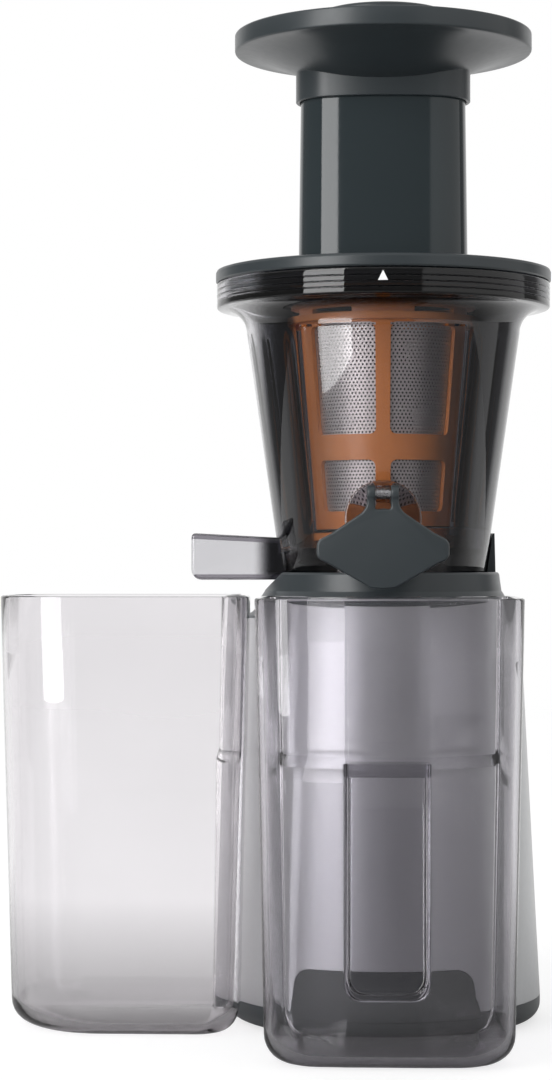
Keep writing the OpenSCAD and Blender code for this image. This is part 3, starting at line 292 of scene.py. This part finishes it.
def filleted(points, steps=6):
    """Closed outline from (x, y) or (x, y, radius) corners; each radius becomes an arc."""
    outline = []
    for i, corner in enumerate(points):
        here = Vector(corner[:2])
        if len(corner) < 3:
            outline.append(tuple(here))
            continue
        before = Vector(points[i - 1][:2]) - here
        after = Vector(points[(i + 1) % len(points)][:2]) - here
        u, v = before.normalized(), after.normalized()
        middle = u + v
        if middle.length < 1e-3:
            outline += [tuple(here)] * (steps + 1)
            continue
        half = u.angle(v) / 2
        reach = min(corner[2] / math.tan(half), 0.499 * before.length, 0.499 * after.length)
        radius = reach * math.tan(half)
        centre = here + middle.normalized() * (radius / math.sin(half))
        first, last = here + u * reach - centre, here + v * reach - centre
        start = math.atan2(first.y, first.x)
        turn = (math.atan2(last.y, last.x) - start + math.pi) % math.tau - math.pi
        for k in range(steps + 1):
            angle = start + turn * k / steps
            outline.append((centre.x + radius * math.cos(angle), centre.y + radius * math.sin(angle)))
    return outline


def ring_faces(rows, columns, closed):
    """Quads between rings of points; closed joins the last ring to the first."""
    faces = []
    for i in range(rows if closed else rows - 1):
        a, b = i * columns, (i + 1) % rows * columns
        faces += [(a + j, a + (j + 1) % columns, b + (j + 1) % columns, b + j) for j in range(columns)]
    return faces


def make_mesh(name, points, faces):
    """Object with clean, outward-facing faces."""
    mesh = bpy.data.meshes.new(name)
    mesh.from_pydata([[c * MM for c in p] for p in points], [], faces)
    held = bmesh.new()
    held.from_mesh(mesh)
    bmesh.ops.remove_doubles(held, verts=held.verts, dist=1e-6)
    bmesh.ops.dissolve_degenerate(held, edges=held.edges, dist=1e-7)
    bmesh.ops.recalc_face_normals(held, faces=held.faces)
    held.to_mesh(mesh)
    held.free()
    made = bpy.data.objects.new(name, mesh)
    bpy.context.scene.collection.objects.link(made)
    return made


def shell(name, rings):
    """Closed skin through rings that form a loop, as a tube's outside, rim and inside do."""
    columns = len(rings[0])
    return make_mesh(name, [p for ring in rings for p in ring], ring_faces(len(rings), columns, True))


def capped(name, rings):
    """Closed solid through rings, with a flat face at each end."""
    columns = len(rings[0])
    faces = ring_faces(len(rings), columns, False)
    last = (len(rings) - 1) * columns
    faces += [tuple(range(columns)), tuple(range(last, last + columns))]
    return make_mesh(name, [p for ring in rings for p in ring], faces)


def circle(radius, z, steps=144):
    turns = [i * math.tau / steps for i in range(steps)]
    return [(radius * math.cos(a), radius * math.sin(a), z) for a in turns]


def lathe(name, profile, steps=144):
    """Solid of revolution from a closed outline of (radius, z)."""
    return shell(name, [circle(r, z, steps) for r, z in profile])


def slab(name, outline, low, high, place):
    """Prism from an outline; place turns (u, v, depth) into x, y, z."""
    return capped(name, [[place(u, v, depth) for u, v in outline] for depth in (low, high)])


def settle(piece):
    """Applies a piece's modifiers to its mesh."""
    evaluated = piece.evaluated_get(bpy.context.evaluated_depsgraph_get())
    result = bpy.data.meshes.new_from_object(evaluated)
    piece.modifiers.clear()
    piece.data = result


def forward(u, v, depth):
    """Outline seen from the front; depth runs towards the front."""
    return (u, -depth, v)


def sideways(u, v, depth):
    """Outline seen from the side; depth runs to the right."""
    return (depth, -u, v)


def upward(u, v, depth):
    """Outline seen from above; depth is height."""
    return (u, v, depth)


def carve(piece, tool, operation="DIFFERENCE"):
    """Cuts the tool from a piece, or joins it on, and removes the tool."""
    change = piece.modifiers.new("carve", "BOOLEAN")
    change.operation = operation
    change.object = tool
    change.solver = "EXACT"
    settle(piece)
    bpy.data.objects.remove(tool)
    return piece


def soften(piece, width, segments=3, angle=40):
    """Rounds a piece's sharp edges."""
    change = piece.modifiers.new("edges", "BEVEL")
    change.width = width * MM
    change.segments = segments
    change.limit_method = "ANGLE"
    change.angle_limit = math.radians(angle)
    settle(piece)
    return piece


def dress(piece, body, slot, *nodes, material=None, sharp=32):
    """Gives a piece its material and its body, and hides the CAD nodes that it stands for."""
    mesh = piece.data
    mesh.polygons.foreach_set("use_smooth", [True] * len(mesh.polygons))
    mesh.set_sharp_from_angle(angle=math.radians(sharp))
    mesh.materials.clear()
    mesh.materials.append((material or MATERIALS[slot]).material)
    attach(piece, body)
    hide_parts(*nodes)
    return piece


def smooth(value, low, high):
    t = min(1.0, max(0.0, (value - low) / (high - low)))
    return t * t * (3 - 2 * t)


# ---- Jugs ----

JUG_BACK_R = BODY_R + 2.1
JUG_STEP = 3.7
JUG_STEP_Z = 104
JUG_ROUND = 11


def back_radius(z, wall):
    """Radius of the hollow in a jug's back, which is wider below the step."""
    return JUG_BACK_R - JUG_STEP * smooth(z, JUG_STEP_Z - 1, JUG_STEP_Z + 3) + wall


def jug_stations(height, lean, wall, marks):
    """Heights and wall insets of a jug's outside, from its floor to its rim."""
    low = 3.0 if wall else 0.0
    turn = JUG_ROUND - 0.6 * wall
    found = []
    for i in range(9):
        a = math.radians(90 * i / 8)
        found.append((low + turn * (1 - math.cos(a)), wall + lean + turn * (1 - math.sin(a))))
    for z in marks:
        if z > low + turn:
            found.append((z, wall + lean * (height - z) / (height - turn)))
    return found


def jug_lip(rim, height, wall):
    """Rounded rings over a jug's edge; rim gives one ring from a height and an inset."""
    edge = ((height - 0.35, 0.1), (height, 0.6), (height, wall - 0.6), (height - 0.35, wall - 0.1))
    return [rim(z, inset) for z, inset in edge]


def grip_depth(z, top, low):
    """Depth of the finger recess at a height."""
    return 2.6 + 6.4 * min(1.0, (z - low) / (top - 12 - low))


def juice_outline(x0, x1, y0, z, inset, wall, grip):
    """Plan of the juice jug; the recess in its front is (half width, depth)."""
    back = back_radius(z, wall)
    left, right, front = x0 + inset, x1 - inset, y0 + inset
    bow = 1.2
    half, depth = grip
    corner = max(3.0, 15 - wall)
    first, last = (math.degrees(math.atan2(-math.sqrt(back ** 2 - x * x), x)) for x in (right, left))
    points = [(left, front + bow, corner)]
    middle = (x0 + x1) / 2 - 0.8
    points += [(middle - half, front, 0.8), (middle - half + 0.5, front + depth, 1.2)]
    points += [(middle + half - 0.5, front + depth, 1.2), (middle + half, front, 0.8)]
    points += [(right, front + bow, corner)]
    ends = arc(0, 0, back, first, last - 360 if last > 0 else last, 28)
    points += [(*ends[0], 2.0), *ends[2:-2], (*ends[-1], 2.0)]
    return filleted(points)


def juice_jug():
    (x0, y0, _), (x1, _, height) = box_mm("juice_jug")
    wall, lean, top, low, half, turn = 2.6, 3.2, 104.8, 27.5, 14.0, 6.0

    def side(thick):
        high, deep = top + 1.8 * thick, low - thick
        marks = [deep + turn * (1 - math.cos(math.radians(i * 15))) for i in range(7)]
        marks += [50, 65, 80, top - 12, 98, JUG_STEP_Z - 1, high, high]
        marks += [JUG_STEP_Z + 3.2 + thick, 125, 145, height - 1]
        rings, last = [], 0
        for z, inset in jug_stations(height, lean, thick, marks):
            inside = deep - 1e-6 <= z and (z < high or (z == high and last != high))
            round_off = turn - math.sqrt(max(0.0, turn ** 2 - max(0.0, turn - (z - deep)) ** 2))
            depth = grip_depth(max(z, low), top, low) + 1.1 * thick if inside else 0.0
            width = half + 0.4 * thick - (round_off if inside else 0.0)
            rings.append([(x, y, z) for x, y in juice_outline(x0, x1, y0, z, inset, thick, (width, depth))])
            if inside and z == marks[0]:
                plain = juice_outline(x0, x1, y0, z, inset, thick, (width, 0.0))
                rings.insert(-1, [(x, y, z) for x, y in plain])
            last = z
        return rings

    def rim(z, inset):
        return [(x, y, z) for x, y in juice_outline(x0, x1, y0, z, inset, inset, (half, 0.0))]

    outer, inner = side(0.0), side(wall)
    lip = jug_lip(rim, height, wall)
    piece = capped("juice_jug_body", outer + lip + inner[::-1])
    dress(piece, "juice_jug", "smoke_jug", "juice_jug")


def pulp_outline(x0, x1, y0, y1, z, inset, wall):
    """Plan of the pulp jug."""
    back = back_radius(z, wall)
    left, right, front, rear = x0 + inset, x1 - inset, y0 + inset, y1 - inset
    samples = 32

    def side(y):
        return min(right, -math.sqrt(back ** 2 - min(y * y, back ** 2)))

    depths = [front + 16 + (rear - 3 - front - 16) * i / samples for i in range(samples + 1)]
    points = [(left, front, 31 - wall), (right, front, 14 - wall)] + [(side(y), y) for y in depths]
    return filleted(points + [(side(rear), rear, 3), (left, rear, 31 - wall)], 12)


def pulp_jug():
    (x0, y0, _), (x1, y1, height) = box_mm("pulp_jug")
    wall, lean = 2.2, 3.8

    def side(thick):
        marks = [30, 50, 70, 90, JUG_STEP_Z - 1, JUG_STEP_Z + 0.5, JUG_STEP_Z + 1.5, JUG_STEP_Z + 3]
        marks += [125, 145, height - 1]
        return [[(x, y, z) for x, y in pulp_outline(x0, x1, y0, y1, z, inset, thick)]
                for z, inset in jug_stations(height, lean, thick, marks)]

    def rim(z, inset):
        return [(x, y, z) for x, y in pulp_outline(x0, x1, y0, y1, z, inset, inset)]

    lip = jug_lip(rim, height, wall)
    piece = capped("pulp_jug_body", side(0.0) + lip + side(wall)[::-1])
    dress(piece, "pulp_jug", "clear_jug", "pulp_jug")


# ---- Bowl ----

RIB_ANGLES = (44, 60, 76, 128, 142)
PANEL_LOW, PANEL_HIGH = Z_COLLAR + 12, Z_COVE - 1


def wall_r(z):
    return WALL_R_LOW + (WALL_R_TOP - WALL_R_LOW) * (z - Z_COLLAR) / (Z_COVE - Z_COLLAR)


def panel_edge(z):
    """Angle in degrees, from the front, of the flat window panel's edge."""
    share = (min(max(z, PANEL_LOW), PANEL_HIGH) - PANEL_LOW) / (PANEL_HIGH - PANEL_LOW)
    return math.degrees(math.asin((26 + 5.5 * share) / wall_r(min(max(z, PANEL_LOW), PANEL_HIGH))))


def bowl_ring(radius, z, kind):
    """One ring of the bowl; the panel stands proud outside, the ribs inside, and the ledge slopes."""
    edge = panel_edge(z)
    across, around = 40, 184
    step = 0.5
    angles = [-edge + 2 * edge * i / across for i in range(across + 1)]
    span = 360 - 2 * edge - 2 * step
    angles += [edge + step + span * i / around for i in range(around + 1)]
    ring = []
    for i, turn in enumerate(angles):
        r, high = radius, z
        folded = min(abs(turn), abs(360 - turn))
        if kind == "panel" and i <= across:
            r += 1.0
        if kind == "ribs":
            for rib in RIB_ANGLES:
                off = abs(folded - rib) / 360 * math.tau * radius / 2.6
                r -= 0.9 * math.cos(off * math.pi / 2) ** 2 if off < 1 else 0
        a = math.radians(turn - 90)
        if kind == "ledge":
            high += 7.4 * min(1.0, max(0.0, 1 + r * math.cos(a) / 38))
        ring.append((r * math.cos(a), r * math.sin(a), high))
    return ring


def bowl():
    cove_r = Z_RING - Z_COVE
    centre = WALL_R_TOP + cove_r
    rings = [(PLUG_R, BOWL_LOW[2], ""), (PLUG_R, Z_COLLAR - 0.2, ""), (WALL_R_LOW, Z_COLLAR + 0.6, "")]
    rings += [(wall_r(PANEL_LOW - 0.4), PANEL_LOW - 0.4, "")]
    levels = [PANEL_LOW + (PANEL_HIGH - PANEL_LOW) * i / 16 for i in range(17)]
    rings += [(wall_r(z), z, "panel") for z in levels]
    rings += [(r, z, "") for r, z in arc(centre, Z_COVE, cove_r, 180, 100, 16)]
    ring = [(RING_R, Z_RING, 0.9)]
    for i in range(3):
        z = Z_RING + 2.4 + i * 2.2
        ring += [(RING_R, z, 0.15), (RING_R - 0.5, z + 0.3, 0.2), (RING_R, z + 0.6, 0.15)]
    ring += [(RING_R, Z_RIM, 0.8), (RING_R - 3, Z_RIM, 0.8), (RING_R - 3, Z_RING + 2.6, 1.0)]
    ends = [(centre - 2, Z_RING - 0.2)] + ring + [(centre - 2, Z_RING + 2.4)]
    rings += [(r, z, "") for r, z in filleted(ends, 3)[1:-1]]
    inner = arc(centre, Z_COVE, cove_r + BOWL_T, 100, 180, 16)
    rings += [(r, z + 1.0 * (1 - i / 16), "") for i, (r, z) in enumerate(inner)]
    rings += [(wall_r(Z_COVE - 3) - BOWL_T, Z_COVE - 3, "")]
    rings += [(wall_r(z) - BOWL_T, z, "ribs") for z in levels[::-1] if z > Z_COLLAR + 20 and z < Z_COVE - 4]
    rings += [(wall_r(Z_COLLAR + 18) - BOWL_T, Z_COLLAR + 18, "")]
    ledge_r = 34.6
    rings += [(wall_r(Z_FLOOR) - BOWL_T, Z_FLOOR, "ledge")]
    rings += [(ledge_r, Z_FLOOR, "ledge"), (ledge_r, Z_FLOOR, "")]
    rings += [(9.5, Z_FLOOR, ""), (9.5, Z_FLOOR - FLOOR_T, "")]
    rings += [(WALL_R_LOW - BOWL_T, Z_FLOOR - FLOOR_T, ""), (PLUG_R - BOWL_T, BOWL_LOW[2], "")]
    piece = shell("bowl_body", [bowl_ring(*row) for row in rings])
    add_spouts(piece)
    dress(piece, "bowl", "smoke_bowl", "juice_bowl", "pulp_spout", "juice_outlet", sharp=38)


def add_spouts(piece):
    """Joins the juice outlet, the hinge lug and the pulp spout to the bowl, and opens their bores."""
    outlet_end = -box_mm("juice_outlet")[0][1] - 7.9
    end = -box_mm("pulp_spout")[0][0]
    hinge_y = outlet_end + 4.6
    spout_low, spout_top = Z_COLLAR - 3, Z_COLLAR + 15.5
    bore_z = Z_FLOOR + 6.7
    wall_in = wall_r(Z_OUTLET) - 1.6
    stub = slab("stub", arc(0, Z_OUTLET, 14.5, 0, 352.5, 47), wall_in, outlet_end, forward)
    carve(piece, soften(stub, 0.8, 2), "UNION")
    ear = filleted([(outlet_end - 1, HINGE_Z - 3.3), (hinge_y + 3.3, HINGE_Z - 3.3, 3.2),
                    (hinge_y + 3.3, HINGE_Z + 3.3, 3.2), (outlet_end - 1, HINGE_Z + 3.3)])
    carve(piece, slab("lug", ear, -2.6, 2.6, sideways), "UNION")
    duct = filleted([(-end, spout_top, 1.6), (-30, spout_top - 2.4), (-30, spout_low), (-end, spout_low, 4)])
    sides = [[(x, y, z) for x, z in duct] for y in (-12, 12)]
    carve(piece, soften(capped("duct", sides), 1.2, 3), "UNION")
    chute = arc(CHUTE_X, 0, CHUTE_R, 0, 352.5, 47)
    carve(piece, slab("chute", chute, Z_FLOOR - 5, Z_FLOOR + 6, upward), "UNION")
    bore = [(-end - 4, spout_top - 2.2), (-41.5, spout_top - 4), (-41.5, Z_FLOOR - FLOOR_T),
            (-13.2, Z_FLOOR - FLOOR_T), (-13.2, spout_low + 2.2), (-end - 4, spout_low + 2.2)]
    hollow = capped("duct_bore", [[(x, y, z) for x, z in bore] for y in (-9.8, 9.8)])
    carve(piece, hollow)
    chute_bore = arc(CHUTE_X, 0, CHUTE_BORE_R, 0, 352.5, 47)
    carve(piece, slab("chute_bore", chute_bore, Z_FLOOR - 6, Z_FLOOR + 9, upward))
    outlet_bore = arc(0, bore_z, 6.5, 0, 352.5, 47)
    carve(piece, slab("outlet_bore", outlet_bore, 34, outlet_end + 5, forward))


# ---- Strainer ----

STRAIN_LOW = box_mm("strainer_frame")[0][2]
NECK = Z_RING - 4
WINDOWS = ((Z_FLOOR + 14, Z_FLOOR + 34), (Z_FLOOR + 44, Z_FLOOR + 87))
POST_HALF, WINDOW_EDGE = 2.85, 58
STRAIN_R_LOW = 26.4


def strain_r(z):
    return STRAIN_R_LOW + 7.2 * (z - STRAIN_LOW) / (NECK - STRAIN_LOW)


def wedge(name, low_turn, high_turn, z0, z1, corner):
    """Tool that cuts a rounded window between two angles through the strainer's wall."""
    middle_r = strain_r((z0 + z1) / 2)
    unit = math.radians(1) * middle_r
    outline = filleted([(low_turn * unit, z0, corner), (high_turn * unit, z0, corner),
                        (high_turn * unit, z1, corner), (low_turn * unit, z1, corner)])
    detailed = []
    for i, (u, v) in enumerate(outline):
        after = outline[(i + 1) % len(outline)]
        count = max(1, int(abs(after[0] - u) / 1.5))
        detailed += [(u + (after[0] - u) * k / count, v + (after[1] - v) * k / count) for k in range(count)]

    def ring(radius):
        turns = [(math.radians(u / unit), v) for u, v in detailed]
        return [(radius * math.cos(a), radius * math.sin(a), v) for a, v in turns]

    return capped(name, [ring(20), ring(45)])


def strainer_frame():
    thin, hub_r, flange_r = 1.6, 11.7, 37.2
    top = Z_RING + 6.7
    profile = [(STRAIN_R_LOW, STRAIN_LOW, 0.5)]
    profile += [(strain_r(NECK), NECK), (strain_r(NECK) + 0.4, NECK + 6.8, 0.4), (flange_r, NECK + 7.2, 0.3)]
    profile += [(flange_r, top, 0.6), (strain_r(NECK) - thin, top, 0.6), (strain_r(NECK) - thin, NECK)]
    profile += [(strain_r(STRAIN_LOW + 2.2) - thin, STRAIN_LOW + 2.2)]
    profile += [(hub_r, STRAIN_LOW + 2.2), (hub_r, STRAIN_LOW)]
    piece = lathe("strainer_cage", filleted(profile, 3), 180)
    for face in (-90, 90):
        for side in (-1, 1):
            for z0, z1 in WINDOWS:
                edge = math.degrees(POST_HALF / strain_r((z0 + z1) / 2))
                turns = sorted((face + side * edge, face + side * WINDOW_EDGE))
                carve(piece, wedge("window", *turns, z0, z1, 2.6))
            turns = sorted((face + side * 21, face + side * 55))
            carve(piece, wedge("slot", *turns, NECK + 1.6, NECK + 5, 1.0))
    hole = arc(CHUTE_X, 0, CHUTE_BORE_R, 0, 345, 23)
    carve(piece, slab("pulp_hole", hole, STRAIN_LOW - 1, STRAIN_LOW + 4, upward))
    dress(piece, "bowl", "orange_plastic", "strainer_frame", sharp=30)


def strainer_screen():
    """Steel cone with staggered round holes where the frame's windows are."""
    (_, _, z0), (_, _, z1) = box_mm("strainer_screen")
    cells, pitch, hole = 120, 1.38, 0.43
    rows = int((z1 - z0) / pitch)
    inset = 1.75
    points, faces, index = [], [], {}

    def spot(u, v):
        """Grid corner; u counts half cells round the cone and v half rows up it."""
        key = (u % (2 * cells), v)
        if key not in index:
            index[key] = len(points)
            z = z0 + v * pitch / 2
            a, r = math.pi * key[0] / cells, strain_r(z) - inset
            points.append((r * math.cos(a), r * math.sin(a), z))
        return index[key]

    for row in range(rows):
        z = z0 + (row + 0.5) * pitch
        r = strain_r(z) - inset
        for cell in range(cells):
            u, v = 2 * cell + row % 2, 2 * row
            border = [spot(u + i, v + j) for i, j in
                      ((0, 0), (1, 0), (2, 0), (2, 1), (2, 2), (1, 2), (0, 2), (0, 1))]
            middle = 180 * (u + 1) / cells
            off = abs((middle + 90) % 180 - 90)
            open_here = abs(off - 90) < WINDOW_EDGE - 2 and any(low < z < high for low, high in WINDOWS)
            if not open_here:
                faces.append(border)
                continue
            first = len(points)
            for k in range(8):
                a = math.radians(225 + 45 * k)
                turn = math.radians(middle) + hole * math.cos(a) / r
                points.append((r * math.cos(turn), r * math.sin(turn), z + hole * math.sin(a)))
            faces += [(border[k], border[(k + 1) % 8], first + (k + 1) % 8, first + k) for k in range(8)]
    piece = make_mesh("strainer_mesh", points, faces)
    thick = piece.modifiers.new("sheet", "SOLIDIFY")
    thick.thickness = 0.45 * MM
    thick.offset = -1
    settle(piece)
    dress(piece, "bowl", "screen_steel", "strainer_screen", sharp=50)


# ---- Tap, tube, tray and pusher ----


def tap_cap():
    (_, front, low), (wing, _, _) = box_mm("tap_cap")
    face = -front - 0.9
    thick = 4.6
    wing_r = 5.6
    tip_x, tip_z = wing - wing_r, Z_OUTLET - 11.7
    half = [(0, low)] + [(4.6, low + 0.4), (9.6, low + 3.2, 8)]
    half += [(tip_x + 1.5, tip_z - wing_r + 0.4, 5), (wing, tip_z - 3.4, 3.5), (wing, tip_z + 3.2, 3.5)]
    half += [(tip_x, tip_z + wing_r + 0.6, 9), (6.2, Z_OUTLET + 3.2, 7), (6.0, HINGE_Z)]
    half += [(2.9, HINGE_Z), (2.9, Z_OUTLET + 3.4, 0.8), (0, Z_OUTLET + 3.4)]
    mirror = [(-p[0], *p[1:]) for p in half[::-1] if p[0] > 0]
    outline = filleted(half + mirror)
    piece = slab("tap_flap", outline, face - thick, face, forward)
    soften(piece, 1.1, 4, 50)
    for side in (-1, 1):
        barrel = arc(face - thick / 2 - 0.1, HINGE_Z, 3.3, 0, 345, 23)
        x0, x1 = sorted((side * 2.9, side * 6.0))
        ear = slab("ear", barrel, x0, x1, sideways)
        carve(piece, soften(ear, 0.5, 2, 50), "UNION")
    dress(piece, "tap", "plastic_charcoal", "tap_cap", sharp=45)


TUBE_HALF, TUBE_END_R, TUBE_ARC_R, TUBE_T = 17, 16.8, 84, 3.8
TUBE_K = math.sqrt((TUBE_ARC_R - TUBE_END_R) ** 2 - TUBE_HALF ** 2)


def oval(grow, z, steps=144):
    """Ring round the oval tube, moved outwards by grow; z is a height or a function of the radius."""
    limit = math.atan2(TUBE_K, TUBE_HALF)
    ring = []
    for i in range(steps):
        a = (i * math.tau / steps + math.pi) % math.tau - math.pi
        if abs(a) < limit:
            cx, cy, r = TUBE_HALF, 0, TUBE_END_R
        elif abs(a) > math.pi - limit:
            cx, cy, r = -TUBE_HALF, 0, TUBE_END_R
        else:
            cx, cy, r = 0, math.copysign(TUBE_K, -a), TUBE_ARC_R
        x, y = cx + (r + grow) * math.cos(a), cy + (r + grow) * math.sin(a)
        ring.append((x, y, z(math.hypot(x, y)) if callable(z) else z))
    return ring


def feed_tube():
    lean = 1.0
    rings = [oval(0.0, Z_LID + 0.05), oval(-lean * 0.5, (Z_LID + Z_TUBE) / 2), oval(-lean, Z_TUBE - 0.6)]
    rings += [oval(-lean - 0.5, Z_TUBE), oval(-TUBE_T, Z_TUBE), oval(-TUBE_T, Z_LID + 0.05)]
    piece = shell("tube_body", rings)
    dress(piece, "lid", "plastic_charcoal", "feed_tube", material=MATERIALS["gloss_charcoal"])


def food_tray():
    z_dish = Z_TRAY_RIM - 7.4
    drop, run, sheet = 13.5, 46, 2.4

    def under(r):
        return z_dish - drop / 2 * (1 - math.cos(math.pi * min(1.0, (TRAY_R - r) / run)))

    def over(r):
        return under(r) + sheet

    def dish(t, height):
        """Ring between the tube's oval and the rim's circle."""
        grow = 2.0 + 14 * t
        blend = smooth(t, 0, 1)
        ring = []
        for i, (x, y, _) in enumerate(oval(grow, 0.0)):
            a = i * math.tau / 144
            r = TUBE_HALF + TUBE_END_R + 2 + (TRAY_R - 3 - TUBE_HALF - TUBE_END_R - 2) * t
            px, py = x + (r * math.cos(a) - x) * blend, y + (r * math.sin(a) - y) * blend
            ring.append((px, py, height(math.hypot(px, py))))
        return ring

    steps = 20
    rings = [oval(-TUBE_T, over), oval(-TUBE_T, Z_TUBE + 0.4)]
    rings += [oval(-0.5, Z_TUBE + 0.4), oval(-0.5, Z_TUBE - 7.0)]
    rings += [oval(-0.2, Z_TUBE - 7.2), oval(0.7, Z_TUBE - 7.2), oval(1.0, Z_TUBE - 6.9), oval(1.0, under)]
    rings += [dish(i / steps, under) for i in range(1, steps + 1)]
    lip = filleted([(TRAY_R - 3, z_dish), (TRAY_R, z_dish, 0.9), (TRAY_R, Z_TRAY_RIM, 0.8),
                    (TRAY_R - 2, Z_TRAY_RIM, 0.8), (TRAY_R - 2.2, z_dish + sheet, 2.0),
                    (TRAY_R - 4.4, over(TRAY_R - 4.4))], 4)
    rings += [circle(r, z) for r, z in lip[1:]]
    rings += [dish(i / steps, over) for i in range(steps - 1, 0, -1)]
    dress(shell("tray_body", rings), "tray", "plastic_charcoal", "food_tray", sharp=40)


def pusher_cap():
    (_, _, low), (_, cap_r, top) = box_mm("pusher_cap")
    seat = low + 8
    profile = [(0, seat + 0.1), (cap_r, seat + 0.1, 0.6), (cap_r, top - 0.4, 1.6)]
    profile += [(cap_r * 0.6, top - 0.1), (0, top)]
    piece = lathe("pusher_knob", filleted(profile))
    plug = capped("plug", [oval(-TUBE_T - 3.2, low), oval(-TUBE_T - 3.2, seat + 1)])
    carve(piece, plug, "UNION")
    flange = capped("flange", [oval(-TUBE_T - 0.8, seat + 0.1), oval(-TUBE_T - 0.8, seat + 1.9)])
    carve(piece, flange, "UNION")
    dress(piece, "pusher", "plastic_charcoal", "pusher_cap", sharp=40)


juice_jug()
pulp_jug()
bowl()
strainer_frame()
strainer_screen()
tap_cap()
feed_tube()
food_tray()
pusher_cap()

# ---- Studio ----

ROOM_LEVEL = 0.22
FLOOR_GLOW, FLOOR_SIZE = 0.66, 2.2


def add_floor():
    """Pale floor; it glows to the camera and behind the object, so the clear parts' edges stay darker."""
    mesh = bpy.data.meshes.new("floor")
    ring = [[c * FLOOR_SIZE for c in p[:2]] + [0] for p in circle(1.0, 0, 72)]
    mesh.from_pydata(ring, [], [list(range(len(ring)))])
    floor = bpy.data.objects.new("floor", mesh)
    bpy.context.scene.collection.objects.link(floor)
    pale = Shader("floor_pale", srgb(170, 170, 170), 0.9, Emission_Color=(1, 1, 1, 1))
    pale.vary_colour(srgb(167, 167, 167), 4)
    axes = pale.node("ShaderNodeSeparateXYZ", Vector=pale.place.outputs["Object"])
    behind = pale.node("ShaderNodeMapRange", Value=axes.outputs["Y"])
    behind.inputs["From Min"].default_value = -0.05
    behind.inputs["From Max"].default_value = 0.35
    path = pale.node("ShaderNodeLightPath")
    glow = pale.math("MAXIMUM", path.outputs["Is Camera Ray"], behind.outputs[0])
    pale.link(pale.math("MULTIPLY", glow, FLOOR_GLOW), pale.bsdf.inputs["Emission Strength"])
    mesh.materials.append(pale.material)


def add_world():
    """Pale room: bright behind the object, a white board at its right, dimmer elsewhere."""
    world = bpy.data.worlds.new("room")
    bpy.context.scene.world = world
    world.use_nodes = True
    tree = world.node_tree
    tree.nodes.clear()

    def calc(operation, a, b=0.0):
        made = tree.nodes.new("ShaderNodeMath")
        made.operation = operation
        for socket, value in zip(made.inputs, (a, b)):
            if isinstance(value, bpy.types.NodeSocket):
                tree.links.new(value, socket)
            else:
                socket.default_value = value
        return made.outputs[0]

    def step(value, low, high, top):
        made = tree.nodes.new("ShaderNodeMapRange")
        made.interpolation_type = "SMOOTHSTEP"
        tree.links.new(value, made.inputs["Value"])
        made.inputs["From Min"].default_value = low
        made.inputs["From Max"].default_value = high
        made.inputs["To Max"].default_value = top
        return made.outputs[0]

    place = tree.nodes.new("ShaderNodeTexCoord")
    axes = tree.nodes.new("ShaderNodeSeparateXYZ")
    tree.links.new(place.outputs["Generated"], axes.inputs[0])
    x, y, z = axes.outputs
    behind = step(y, 0.55, 0.8, 1.0)
    nearer = step(calc("MULTIPLY", y, -1.0), -0.42, -0.36, 1.0)
    right = calc("MULTIPLY", step(x, 0.42, 0.46, 0.85), nearer)
    above = step(z, 0.15, 0.5, 0.72)
    shade = calc("MAXIMUM", calc("MAXIMUM", behind, right), calc("MAXIMUM", above, ROOM_LEVEL))
    path = tree.nodes.new("ShaderNodeLightPath")
    seen = tree.nodes.new("ShaderNodeMix")
    tree.links.new(path.outputs["Is Camera Ray"], seen.inputs[0])
    tree.links.new(shade, seen.inputs[2])
    seen.inputs[3].default_value = 1.0
    light = tree.nodes.new("ShaderNodeBackground")
    tree.links.new(seen.outputs[0], light.inputs["Strength"])
    light.inputs["Color"].default_value = (1.0, 1.0, 1.0, 1.0)
    out = tree.nodes.new("ShaderNodeOutputWorld")
    tree.links.new(light.outputs[0], out.inputs["Surface"])


def add_softbox(name, azimuth, distance, width, height, middle, radiance):
    """Area light round the object; azimuth is degrees to the right of the front."""
    data = bpy.data.lights.new(name, "AREA")
    data.shape = "RECTANGLE"
    data.size = width
    data.size_y = height
    data.energy = radiance * math.pi * width * height
    lamp = bpy.data.objects.new(name, data)
    bpy.context.scene.collection.objects.link(lamp)
    a = math.radians(azimuth)
    lamp.location = (math.sin(a) * distance, -math.cos(a) * distance, middle)
    lamp.rotation_euler = (math.radians(90), 0, a)
    lamp.visible_camera = False


def add_camera():
    data = bpy.data.cameras.new("camera")
    data.sensor_width = 36
    data.lens = 87.7
    data.shift_y = 0.0204
    camera = bpy.data.objects.new("camera", data)
    camera.location = (0.0, -1.053, 0.181)
    camera.rotation_euler = (math.radians(90), 0, math.radians(2.33))
    bpy.context.scene.collection.objects.link(camera)
    bpy.context.scene.camera = camera


add_floor()
add_world()
add_softbox("softbox_left", -40, 1.3, 0.66, 2.0, 0.3, 6.0)
add_camera()
scene = bpy.context.scene
scene.view_settings.view_transform = "Standard"
scene.cycles.max_bounces = 24
scene.cycles.transmission_bounces = 24
scene.cycles.transparent_max_bounces = 24
